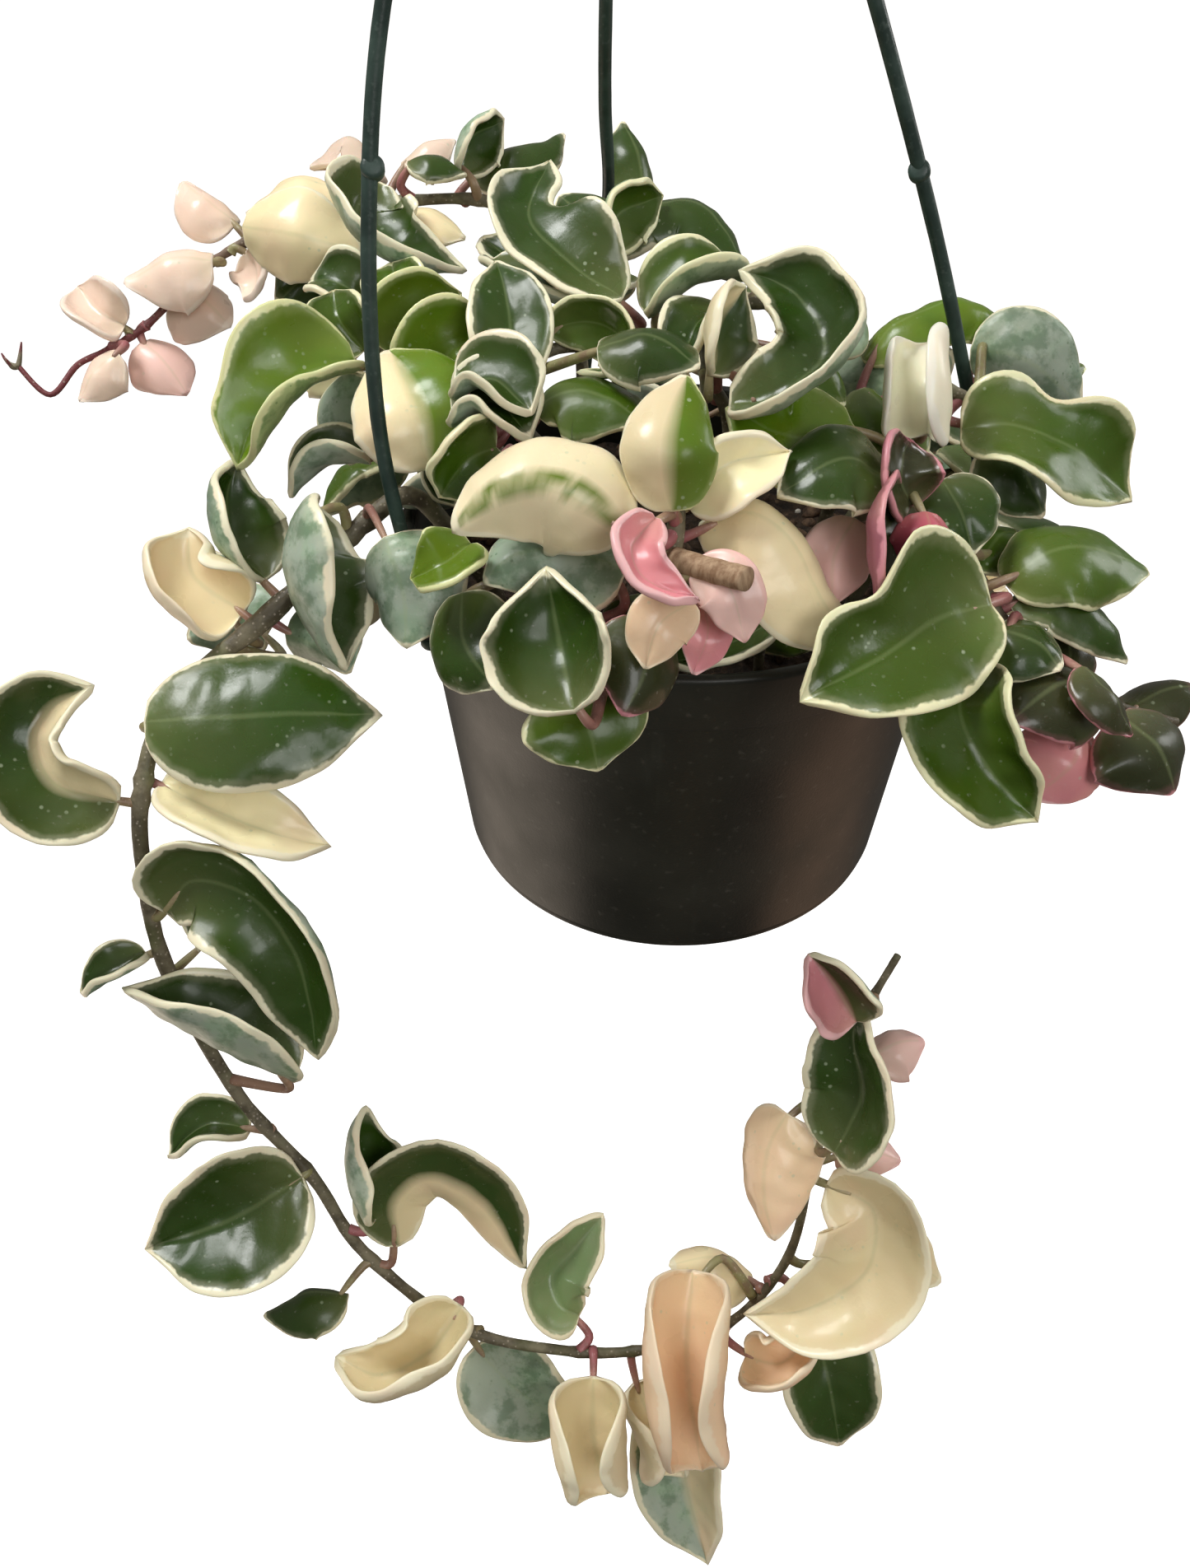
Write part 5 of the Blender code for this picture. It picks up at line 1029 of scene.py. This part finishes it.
def swollen(points, feet, radii):
    """Stem radii with a swelling at every leaf pair and a slight unevenness."""
    close = [min([(point - foot).length for foot in feet] or [99.0]) for point in points]
    return [radius * (0.92 + 0.24 * math.exp(-(gap / 1.6) ** 2) + 0.08 * noise.noise(point * 0.5))
            for point, radius, gap in zip(points, radii, close)]


def add_buds(shell, tip):
    """Three bent bud tips at the end of a growing stem."""
    for aim in BUD_AIMS:
        bend = [tip - aim * 0.5, tip + aim * 2.0, tip + aim * 3.6 + UP * 1.2, tip + aim * 4.6 + UP * 2.6]
        fine_tube(shell, smoothed(bend, 5), [0.9 - 0.045 * i for i in range(16)], 12, STEM_SLOT, 1.0)


def leafy_piece(name, course, radii, leaves, materials, rng):
    """One stem with its leaves and stalks; a mark of 1 gives the stem a burgundy end."""
    shell = Shell()
    fine = smoothed(course, 9)
    rings = swollen(fine, [spec["route"][0] for spec in leaves], stem_radii(fine, radii))
    burgundy = name == "back_left_vine"
    fine_tube(shell, fine, rings, STEM_SIDES, STEM_SLOT, 1.0 if burgundy else 0.8 * rng.random())
    if burgundy:
        add_buds(shell, fine[-1])
    for spec in leaves:
        fine_leaf(shell, spec, rng)
        steps = [i / 14.0 for i in range(15)]
        thick = [STALK * spec["size"] * (1.0 + 0.3 * (1.0 - t) ** 4 - 0.62 * t ** 5) for t in steps]
        fine_tube(shell, smoothed(spec["route"], 7), thick, STALK_SIDES, STALK_SLOT, rng.random())
    if name == "front_cream_stem":
        stub = smoothed([seen(*p) for p in DRY_STUB], 8)
        thick = [1.9 + 0.8 * min(1.0, i / 8.0) + 0.25 * noise.noise(p * 0.6) for i, p in enumerate(stub)]
        fine_tube(shell, stub, thick, 20, DRY_SLOT)
    slot = {"front_cream_stem": "cream_stem", "back_left_vine": "blush_stem"}.get(name, "leafy_stem")
    shell.build(name + "_leaves", materials, name, slot)


# Materials
class Nodes:
    """Short ways to add and join shader nodes of one material."""

    def __init__(self, name):
        self.material = bpy.data.materials.new(name)
        self.material.use_nodes = True
        self.tree = self.material.node_tree
        self.shader = self.tree.nodes["Principled BSDF"]
        self.object = self.tree.nodes.new("ShaderNodeTexCoord").outputs["Object"]

    def add(self, kind, inputs, **settings):
        """New node with its settings and inputs."""
        item = self.tree.nodes.new(kind)
        for name, value in settings.items():
            setattr(item, name, value)
        for name, value in inputs.items():
            self.put(item.inputs[name], value)
        return item

    def put(self, socket, value):
        """Joins a socket to another one, or sets it to a plain value."""
        if isinstance(value, bpy.types.NodeSocket):
            self.tree.links.new(value, socket)
        elif isinstance(value, tuple):
            socket.default_value = (*value, 1.0) if len(value) == 3 and socket.type == "RGBA" else value
        else:
            socket.default_value = value

    def noise(self, scale, detail=2.0, roughness=0.5, stretch=None):
        place = self.object
        if stretch:
            place = self.add("ShaderNodeMapping", {"Vector": place, "Scale": stretch}).outputs["Vector"]
        inputs = {"Vector": place, "Scale": scale, "Detail": detail, "Roughness": roughness}
        return self.add("ShaderNodeTexNoise", inputs).outputs["Fac"]

    def cells(self, scale):
        return self.add("ShaderNodeTexVoronoi", {"Vector": self.object, "Scale": scale}).outputs["Distance"]

    def maths(self, operation, *values):
        return self.add("ShaderNodeMath", dict(enumerate(values)), operation=operation).outputs[0]

    def times(self, first, *others):
        for value in others:
            first = self.maths("MULTIPLY", first, value)
        return first

    def span(self, value, low, high, to_low=0.0, to_high=1.0):
        """Smooth step of a value from low to high."""
        inputs = {"Value": value, "From Min": low, "From Max": high, "To Min": to_low, "To Max": to_high}
        return self.add("ShaderNodeMapRange", inputs, interpolation_type="SMOOTHSTEP").outputs["Result"]

    def mix(self, factor, a, b, blend="MIX"):
        return self.add("ShaderNodeMix", {0: factor, 6: a, 7: b}, data_type="RGBA", blend_type=blend).outputs[2]

    def lay(self, colour, tint, value, low, high, share):
        """Colour with a share of a tint laid on where the value goes from low to high."""
        return self.mix(self.span(value, low, high, 0.0, share), colour, tint)

    def attribute(self, name):
        item = self.add("ShaderNodeAttribute", {}, attribute_name=name)
        return item.outputs["Color"], item.outputs["Alpha"]

    def split(self, colour):
        return self.add("ShaderNodeSeparateColor", {0: colour}).outputs

    def bump(self, height, strength, distance):
        inputs = {"Height": height, "Strength": strength, "Distance": distance}
        self.put(self.shader.inputs["Normal"], self.add("ShaderNodeBump", inputs).outputs["Normal"])

    def surface(self, **values):
        """Sets the shader's own sockets, spaces in their names written as underscores."""
        for name, value in values.items():
            self.put(self.shader.inputs[name.replace("_", " ")], value)
        return self.material


def leaf_material():
    """Waxy leaf: streaked face, thick cream margin with an uneven border, flecks above and blotches below."""
    n = Nodes("waxy_leaf")
    skin, _ = n.attribute("skin")
    rim, _ = n.attribute("rim")
    form, start = n.attribute("form")
    place, _ = n.attribute("place")
    margin, under, _ = n.split(form)
    from_rib, green, _ = n.split(place)
    edge = n.maths("MULTIPLY_ADD", n.maths("SUBTRACT", n.noise(95, 3), 0.5), 0.22, margin)
    edge = n.maths("MULTIPLY_ADD", n.maths("SUBTRACT", n.noise(420, 2), 0.5), 0.10, edge)
    into = n.maths("SUBTRACT", edge, start)
    in_rim = n.span(into, -0.02, 0.03)
    streaks = n.times(n.span(n.noise(60, 4, 0.6), 0.42, 0.66), n.span(green, 0.0, 1.0, 0.06, 0.35))
    colour = n.mix(streaks, skin, (0.75, 1.15, 0.75), "MULTIPLY")
    colour = n.mix(n.span(into, -0.16, -0.03, 0.0, 0.25), colour, n.mix(0.5, colour, rim))
    colour = n.lay(colour, (0.36, 0.44, 0.20), from_rib, 0.06, 0.005, 0.16)
    flecks = n.times(n.span(n.cells(330), 0.20, 0.10), n.span(n.noise(120, 1), 0.52, 0.68), 0.45)
    colour = n.mix(flecks, colour, (0.50, 0.58, 0.40))
    blotches = n.times(n.span(n.noise(150, 4, 0.6), 0.42, 0.62), n.times(under, green), 0.75)
    colour = n.mix(blotches, colour, (0.36, 0.48, 0.36), "MULTIPLY")
    specks = n.times(n.span(n.cells(380), 0.17, 0.09), n.span(n.noise(90, 1), 0.46, 0.62), under)
    specks = n.times(specks, n.span(green, 0.0, 1.0, 0.1, 0.6))
    colour = n.mix(specks, colour, (0.30, 0.42, 0.30), "MULTIPLY")
    colour = n.mix(in_rim, colour, rim)
    not_green = n.maths("SUBTRACT", 1.0, green)
    blush = n.times(n.span(n.noise(45, 2), 0.50, 0.72), n.maths("MAXIMUM", in_rim, not_green), 0.24)
    colour = n.mix(blush, colour, (0.82, 0.50, 0.36))
    colour = n.lay(colour, (0.70, 0.68, 0.60), n.noise(700, 2), 0.66, 0.78, 0.12)
    gloss = n.maths("MULTIPLY_ADD", under, 0.10, n.span(n.noise(80, 3), 0.3, 0.7, 0.24, 0.38))
    n.bump(n.maths("MULTIPLY_ADD", n.noise(900, 2), 0.25, n.noise(160, 3)), 0.22, 0.0006)
    return n.surface(Base_Color=colour, Roughness=gloss, Coat_Weight=0.10, Coat_Roughness=0.12,
                     Subsurface_Weight=0.06, Subsurface_Scale=0.002, Specular_IOR_Level=0.34)


def stem_material():
    """Woody stem: grey-brown skin with greenish patches and pale specks, burgundy towards the end of a marked
    stem.
    """
    n = Nodes("stem_skin")
    along, mark, _ = n.split(n.attribute("form")[0])
    tone = n.span(n.noise(140, 4, 0.6), 0.35, 0.65)
    colour = n.mix(tone, (0.080, 0.066, 0.040), (0.205, 0.180, 0.118))
    colour = n.lay(colour, (0.13, 0.15, 0.055), n.noise(60, 2), 0.52, 0.70, 0.55)
    burgundy = n.times(n.span(mark, 0.9, 0.98), n.span(along, 0.45, 0.75), 0.85)
    colour = n.mix(burgundy, colour, (0.155, 0.018, 0.030))
    colour = n.lay(colour, (0.46, 0.40, 0.32), n.cells(700), 0.26, 0.14, 0.5)
    n.bump(n.maths("MULTIPLY_ADD", n.noise(900, 2), 0.4, n.noise(260, 4)), 0.55, 0.0008)
    return n.surface(Base_Color=colour, Roughness=n.span(tone, 0.0, 1.0, 0.50, 0.68), Specular_IOR_Level=0.4)


def stalk_material():
    """Leaf stalks: mauve-pink to olive, lightly speckled."""
    n = Nodes("leaf_stalk")
    along, mark, _ = n.split(n.attribute("form")[0])
    colour = n.mix(n.span(mark, 0.2, 0.8), (0.36, 0.12, 0.13), (0.27, 0.25, 0.11))
    colour = n.lay(colour, (0.52, 0.40, 0.26), along, 0.55, 1.0, 0.6)
    colour = n.lay(colour, (0.20, 0.09, 0.075), n.noise(240, 3), 0.45, 0.65, 0.5)
    colour = n.lay(colour, (0.60, 0.50, 0.42), n.cells(900), 0.22, 0.12, 0.35)
    n.bump(n.noise(700, 3), 0.3, 0.0005)
    return n.surface(Base_Color=colour, Roughness=0.42, Coat_Weight=0.15, Coat_Roughness=0.3)


def dry_material():
    """Dry cut stub: fibrous tan and brown."""
    n = Nodes("dry_stub")
    fibres = n.noise(600, 4, 0.6, (1.0, 1.0, 0.25))
    colour = n.mix(n.span(fibres, 0.30, 0.70), (0.24, 0.14, 0.075), (0.46, 0.32, 0.20))
    n.bump(fibres, 0.5, 0.0007)
    return n.surface(Base_Color=colour, Roughness=0.8)


def pot_material():
    """Satin nursery-pot plastic: nearly black green, faint dust, moulding flow and a painted vertical sheen."""
    n = Nodes("pot_plastic_satin")
    cloud = n.noise(28, 4, 0.55)
    flow_and_sheen = n.noise(90, 3, 0.6, (1.0, 1.0, 0.12))
    colour = n.mix(n.span(cloud, 0.35, 0.7), (0.013, 0.0135, 0.0100), (0.024, 0.025, 0.019))
    colour = n.lay(colour, (0.16, 0.155, 0.13), n.noise(420, 3), 0.60, 0.80, 0.25)
    # Painted sheen: faint lighter vertical streaks laid into the colour stand in for a highlight; the same
    # streaks bump the surface as moulding flow.
    colour = n.lay(colour, (0.10, 0.11, 0.095), flow_and_sheen, 0.62, 0.78, 0.18)
    n.bump(n.maths("MULTIPLY_ADD", flow_and_sheen, 0.6, n.noise(1400, 2)), 0.10, 0.0004)
    return n.surface(Base_Color=colour, Roughness=n.span(cloud, 0.3, 0.7, 0.34, 0.48), Specular_IOR_Level=0.35)


def hanger_material():
    """Hanger plastic: dark blue-green, slightly mottled and dusty."""
    n = Nodes("hanger_plastic_satin")
    cloud = n.noise(110, 4)
    colour = n.mix(n.span(cloud, 0.35, 0.65), (0.016, 0.034, 0.028), (0.032, 0.062, 0.050))
    colour = n.lay(colour, (0.13, 0.17, 0.15), n.noise(600, 2), 0.60, 0.76, 0.3)
    n.bump(n.noise(800, 3), 0.14, 0.0005)
    return n.surface(Base_Color=colour, Roughness=n.span(cloud, 0.3, 0.7, 0.34, 0.52))


def mix_material():
    """Potting mix: dark peat with brown bark."""
    n = Nodes("potting_mix_crumbs")
    tone = n.noise(260, 5, 0.65)
    colour = n.mix(n.span(tone, 0.35, 0.68), (0.018, 0.012, 0.008), (0.085, 0.052, 0.030))
    colour = n.lay(colour, (0.20, 0.13, 0.075), n.cells(260), 0.20, 0.08, 0.8)
    n.bump(n.maths("MULTIPLY_ADD", n.cells(420), 0.5, tone), 0.9, 0.0025)
    return n.surface(Base_Color=colour, Roughness=0.92)


def chip_material():
    """Bark chips: brown, split along the grain."""
    n = Nodes("bark_chips")
    grain = n.noise(500, 4, 0.6, (1.0, 0.3, 1.0))
    colour = n.mix(n.span(grain, 0.35, 0.68), (0.045, 0.024, 0.014), (0.19, 0.115, 0.066))
    n.bump(grain, 0.6, 0.001)
    return n.surface(Base_Color=colour, Roughness=0.85)


def perlite_material():
    """Pale crumbly grains in the potting mix."""
    n = Nodes("perlite")
    colour = n.mix(n.span(n.noise(900, 3), 0.4, 0.7), (0.60, 0.56, 0.48), (0.80, 0.77, 0.70))
    n.bump(n.noise(1200, 3), 0.6, 0.0006)
    return n.surface(Base_Color=colour, Roughness=0.9)


def floor_material():
    """Pale floor that glows a little, so that it stays white."""
    n = Nodes("pale_floor")
    colour = n.mix(n.noise(3, 2), (0.90, 0.90, 0.895), (0.93, 0.93, 0.925))
    return n.surface(Base_Color=colour, Roughness=0.9, Specular_IOR_Level=0.1,
                     Emission_Color=(1.0, 1.0, 1.0), Emission_Strength=FLOOR_GLOW)


# Pot
def converted(item):
    """A modified object made into a plain mesh object of the same name."""
    graph = bpy.context.evaluated_depsgraph_get()
    mesh = bpy.data.meshes.new_from_object(item.evaluated_get(graph))
    name, matrix = item.name, item.matrix_world.copy()
    bpy.data.objects.remove(item, do_unlink=True)
    mesh.transform(matrix)
    return linked(name, mesh)


def turned(name, profile, sides):
    """Turned solid: profile of (radius, height), outer side running down."""
    mesh = bpy.data.meshes.new(name)
    mesh.from_pydata([(r * MM, 0.0, z * MM) for r, z in profile], [], [])
    mesh.edges.add(len(profile) - 1)
    mesh.edges.foreach_set("vertices", [i + k for i in range(len(profile) - 1) for k in (0, 1)])
    item = linked(name, mesh)
    item.location = placed((0, 0, 0))
    turn = item.modifiers.new("turn", "SCREW")
    turn.steps = turn.render_steps = sides
    turn.use_merge_vertices = True
    turn.merge_threshold = 0.00005
    bpy.context.view_layer.update()
    return converted(item)


def post(group, centre, radius, height, sides):
    """Upright cylinder kept in a group of cutting or joining shapes."""
    bpy.ops.mesh.primitive_cylinder_add(vertices=sides, radius=radius * MM, depth=height * MM,
                                        location=placed(centre))
    item = bpy.context.object
    for old in list(item.users_collection):
        old.objects.unlink(item)
    group.objects.link(item)


def combine(base, operation, group):
    """Boolean with every object of a group, applied; the group is emptied."""
    cut = base.modifiers.new("combine", "BOOLEAN")
    cut.operation = operation
    cut.solver = "EXACT"
    cut.operand_type = "COLLECTION"
    cut.collection = group
    bpy.context.view_layer.update()
    new = converted(base)
    for tool in list(group.objects):
        bpy.data.objects.remove(tool, do_unlink=True)
    return new


def pot_profile():
    """Outline of the wall: up the inside from the floor's middle, over the rim, down the outside."""
    floor_top = WALL - POT_HEIGHT
    inner_top = RIM_RADIUS - 3.4
    wall_low = BASE_RADIUS - WALL
    bead = 1.7
    profile = [(0.0, floor_top), (wall_low - 2.0, floor_top), (wall_low - 0.6, floor_top + 0.4),
               (wall_low, floor_top + 1.6), (WALL_TOP_RADIUS - WALL, -LIP_HEIGHT), (inner_top - 0.9, -3.0),
               (inner_top - 0.3, -1.2)]
    for k in range(7):
        turn = math.radians(180.0 - 30.0 * k)
        profile.append((RIM_RADIUS - bead + bead * math.cos(turn), -1.2 + 1.2 * math.sin(turn)))
    profile += [(RIM_RADIUS - 0.1, -1.9), (LIP_LOW_RADIUS, 0.8 - LIP_HEIGHT),
                (LIP_LOW_RADIUS - 0.25, 0.2 - LIP_HEIGHT), (LIP_LOW_RADIUS - 0.8, -LIP_HEIGHT),
                (WALL_TOP_RADIUS + 0.2, -LIP_HEIGHT - 0.1), (WALL_TOP_RADIUS, -LIP_HEIGHT - 0.8)]
    foot = ((0.75, 3.1), (0.1, 2.6), (0.1, 2.1), (0.3, 1.4), (0.0, 0.5), (-0.8, 0.0))
    return profile + [(BASE_RADIUS + wide, rise - POT_HEIGHT) for wide, rise in foot] + [(0.0, -POT_HEIGHT)]


def shade(mesh):
    """Smooth faces with sharp edges where the plastic turns a corner."""
    work = bmesh.new()
    work.from_mesh(mesh)
    bmesh.ops.recalc_face_normals(work, faces=work.faces)
    for face in work.faces:
        face.smooth = True
    for edge in work.edges:
        edge.smooth = len(edge.link_faces) == 2 and edge.calc_face_angle(0.0) < SHARP_EDGE
    work.to_mesh(mesh)
    work.free()


def pot_piece(material):
    """Round tapered nursery pot with a deep collar, foot bead, three lugs and drain holes."""
    pot = turned("nursery_pot", pot_profile(), POT_SIDES)
    group = bpy.data.collections.new("pot_tools")
    bpy.context.scene.collection.children.link(group)
    for angle in LUG_ANGLES.values():
        post(group, rim_spot(angle, LUG_REACH, LUG_LEVEL), 5.0, LUG_HEIGHT, 40)
        post(group, rim_spot(angle, LUG_REACH - 2.0, LUG_LEVEL), 3.6, LUG_HEIGHT, 32)
    pot = combine(pot, "UNION", group)
    for angle in LUG_ANGLES.values():
        post(group, rim_spot(angle, STRAND_REACH, LUG_LEVEL), STRAND_RADIUS + GAP, 12.0, 24)
    for k in range(DRAIN_COUNT):
        spot = rim_spot(360.0 * k / DRAIN_COUNT + 10.0, DRAIN_REACH, -POT_HEIGHT)
        post(group, spot, DRAIN_RADIUS, 12.0, 32)
    pot = combine(pot, "DIFFERENCE", group)
    bpy.data.collections.remove(group)
    pot.name = "nursery_pot"
    shade(pot.data)
    pot.data.materials.clear()
    pot.data.materials.append(material)
    dress(pot, "pot", "pot_plastic")


# Potting mix
def soil_height(x, y):
    """Gently uneven top of the potting mix with crumbs on it."""
    bump = math.sin(x * 0.21 + 1.0) * math.cos(y * 0.17) + 0.6 * math.sin(x * 0.47 - y * 0.39)
    crumbs = 1.1 * noise.noise(Vector((x * 0.3, y * 0.3, 2.0)))
    crumbs += 0.7 * noise.noise(Vector((x * 0.9, y * 0.9, 7.0)))
    return -SOIL_DROP + 0.8 * bump - 0.0006 * (x * x + y * y) + crumbs


def chip(shell, spot, size, slot, rng):
    """A small rough angular bit lying in the mix."""
    turn = Matrix.Rotation(rng.uniform(0, 6.3), 3, "Z") @ Matrix.Rotation(rng.uniform(-0.5, 0.5), 3, "X")
    stretch = [size * rng.uniform(0.8, 1.5), size * rng.uniform(0.5, 0.9), size * rng.uniform(0.35, 0.6)]
    vertices, levels = [], ((-1.0, 0.55), (-0.2, 1.0), (0.5, 0.85), (1.0, 0.45))
    for level, wide in levels:
        for k in range(CHIP_SIDES):
            angle = 2.0 * math.pi * k / CHIP_SIDES
            r = wide * rng.uniform(0.8, 1.15)
            corner = (math.cos(angle) * r * stretch[0], math.sin(angle) * r * stretch[1], level * stretch[2])
            vertices.append(spot + turn @ Vector(corner))
    ends = [tuple(reversed(range(CHIP_SIDES))), tuple(range(len(vertices) - CHIP_SIDES, len(vertices)))]
    shell.add(vertices, bands(len(levels), CHIP_SIDES) + ends, slot)


def soil_piece(materials, rng):
    """Potting mix: crumbly top, body inside the pot, bark chips and pale grains."""
    shell = Shell()
    floor = -POT_HEIGHT + WALL + GAP
    top = rim_rings([(SOIL_RADIUS * i / SOIL_RINGS, 0.0) for i in range(1, SOIL_RINGS + 1)], SOIL_SIDES)
    for spot in top:
        spot.z = soil_height(spot.x, spot.y)
    low = rim_rings(((61.4, floor + 1.2), (60.6, floor)), SOIL_SIDES)
    shell.add(*capped(top + low, SOIL_SIDES, Vector((0, 0, soil_height(0, 0))), Vector((0, 0, floor))))
    for number in range(CHIPS):
        spot = rim_spot(rng.uniform(0, 360), 66.0 * math.sqrt(rng.random()), 0.0)
        size = rng.uniform(1.2, 3.4)
        spot.z = soil_height(spot.x, spot.y) + 0.15 * size
        pale = number % 4 == 0
        chip(shell, spot, 0.5 * size if pale else size, 2 if pale else 1, rng)
    shell.build("potting_mix_bed", materials, "soil", "potting_mix")


# Hanger
def lathe(shell, profile, sides, centre=Vector()):
    """Closed turned body from a profile of (radius, height) that starts and ends on the axis."""
    first, last = [centre + Vector((0, 0, profile[i][1])) for i in (0, -1)]
    shell.add(*capped(rim_rings(profile[1:-1], sides, centre), sides, first, last))


def strand_piece(side, material):
    """Moulded hanger strand: round rod, foot under the lug and round moulding marks."""
    shell = Shell()
    course = smoothed(strand_course(side), 10)
    fine_tube(shell, course, [STRAND_RADIUS + 0.05 * noise.noise(p * 0.2) for p in course], 20)
    foot = strand_course(side)[0]
    lathe(shell, [(0.0, 2.5), (1.9, 2.5), (2.6, 2.2), (2.9, 1.6), (2.9, 0.2), (2.5, -0.4), (0.0, -0.5)],
          24, foot)
    toward = Vector((0, 0, 1)).rotation_difference((EYE - foot).normalized())
    rise, wide = 1.2 * STRAND_RADIUS, NUB_RADIUS
    for spot in strand_nubs(side):
        nub = Shell()
        lathe(nub, [(0.0, rise), (wide - 0.9, rise), (wide - 0.3, rise - 0.25), (wide, rise - 0.8),
                    (wide, 0.8 - rise), (wide - 0.3, 0.25 - rise), (0.0, -rise)], 24)
        shell.add([spot + toward @ v for v in nub.vertices], nub.faces)
    shell.build("strand_" + side, [material], "hanger_strand_" + side, "hanger_plastic")


def hook_piece(material):
    """Hub that gathers the strands, collar, and the open hook."""
    shell = Shell()
    rise = HOOK_INNER + HOOK_ROD
    points = [Vector(p) for p in ((0, 0, HUB_TOP - 4), (0, 0, HUB_TOP + 3), (5, 0, -31), (11, 0, -25))]
    for k in range(13):
        angle = math.radians(-25.0 + 215.0 * k / 12.0)
        points.append(Vector((rise * math.cos(angle), 0, -HOOK_INNER + rise * math.sin(angle))))
    course = smoothed([p - RIM_CENTRE for p in points], 5)
    fine_tube(shell, course, [HOOK_ROD] * len(course), 24)
    centre = Vector((0, 0, HUB_TOP - HUB_HEIGHT / 2.0)) - RIM_CENTRE
    high, wide = HUB_HEIGHT / 2.0, HUB_RADIUS
    lathe(shell, [(0.0, high + 2.5), (3.9, high + 2.5), (4.6, high + 1.8), (4.6, high + 0.2), (5.2, high),
                  (wide - 1.4, high), (wide - 0.4, high - 0.5), (wide, high - 1.5), (wide, 1.2 - high),
                  (wide - 0.4, 0.3 - high), (wide - 1.2, -high), (0.0, -high)], 64, centre)
    half = [(0.0, 1.7), (2.2, 1.7), (2.8, 1.3), (3.0, 0.6)]
    lathe(shell, half + [(radius, -height) for radius, height in reversed(half)], 28, points[-1] - RIM_CENTRE)
    shell.build("hook_and_hub", [material], "hanger_hook", "hanger_plastic")


# Room, camera and light
def add_floor(material):
    mesh = bpy.data.meshes.new("floor")
    corners = ((-1, -1), (1, -1), (1, 1), (-1, 1))
    places = [(x * FLOOR_REACH, y * FLOOR_REACH, FLOOR_HEIGHT) for x, y in corners]
    mesh.from_pydata(places, [], [(0, 1, 2, 3)])
    mesh.materials.append(material)
    floor = linked("floor", mesh)
    floor.visible_diffuse = False
    floor.visible_glossy = False


def add_camera():
    camera = bpy.data.cameras.new("camera")
    camera.sensor_width = SENSOR_WIDTH
    camera.lens = SENSOR_WIDTH * FOCAL_PIXELS / IMAGE_HEIGHT
    camera.clip_start = 0.01
    camera.clip_end = 60.0
    item = linked("camera", camera)
    item.location = placed(EYE)
    item.rotation_euler = (math.pi / 2.0 - VIEW_TILT, 0.0, 0.0)
    bpy.context.scene.camera = item


def add_light(name, place, size, power, colour=(1.0, 1.0, 1.0)):
    light = bpy.data.lights.new(name, "AREA")
    light.shape = "DISK"
    light.size = size
    light.energy = power
    light.color = colour
    item = linked(name, light)
    item.location = place
    item.rotation_euler = (placed((0, 0, -20)) - Vector(place)).to_track_quat("-Z", "Y").to_euler()


def add_world():
    """Soft warm white light from above, much weaker from below."""
    world = bpy.data.worlds.new("soft_white")
    world.use_nodes = True
    tree = world.node_tree
    direction = tree.nodes.new("ShaderNodeTexCoord")
    height = tree.nodes.new("ShaderNodeSeparateXYZ")
    share = tree.nodes.new("ShaderNodeMapRange")
    for name, value in (("From Min", -0.6), ("From Max", 0.9), ("To Min", WORLD_LOW), ("To Max", WORLD_HIGH)):
        share.inputs[name].default_value = value
    background = tree.nodes["Background"]
    background.inputs["Color"].default_value = (1.0, 0.95, 0.88, 1.0)
    tree.links.new(direction.outputs["Generated"], height.inputs[0])
    tree.links.new(height.outputs["Z"], share.inputs["Value"])
    tree.links.new(share.outputs["Result"], background.inputs["Strength"])
    bpy.context.scene.world = world


def add_light_set():
    add_world()
    add_light("key", (-0.55, 0.10, 0.75), 0.45, 11.0)
    add_light("front", (0.45, -1.10, 0.45), 0.60, 5.5)
    add_light("side", (1.00, 0.30, 0.10), 0.50, 3.0)
    add_light("warm_left", (-0.85, 0.05, -1.10), 1.10, 4.2, (1.0, 0.84, 0.68))
    add_light("warm_right", (0.80, -0.10, -1.10), 0.80, 1.1, (1.0, 0.60, 0.38))
    bpy.context.scene.view_settings.view_transform = "Standard"


def main():
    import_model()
    rng = random.Random(SEED_LOOKS)
    growing = [leaf_material(), stem_material(), stalk_material(), dry_material()]
    plastic = hanger_material()
    stems = all_stems()
    settle_all(stems)
    for name, (course, radii, leaves) in stems.items():
        leafy_piece(name, course, radii, leaves, growing, rng)
    pot_piece(pot_material())
    soil_piece([mix_material(), chip_material(), perlite_material()], rng)
    for side in LUG_ANGLES:
        strand_piece(side, plastic)
    hook_piece(plastic)
    add_floor(floor_material())
    add_camera()
    add_light_set()


main()
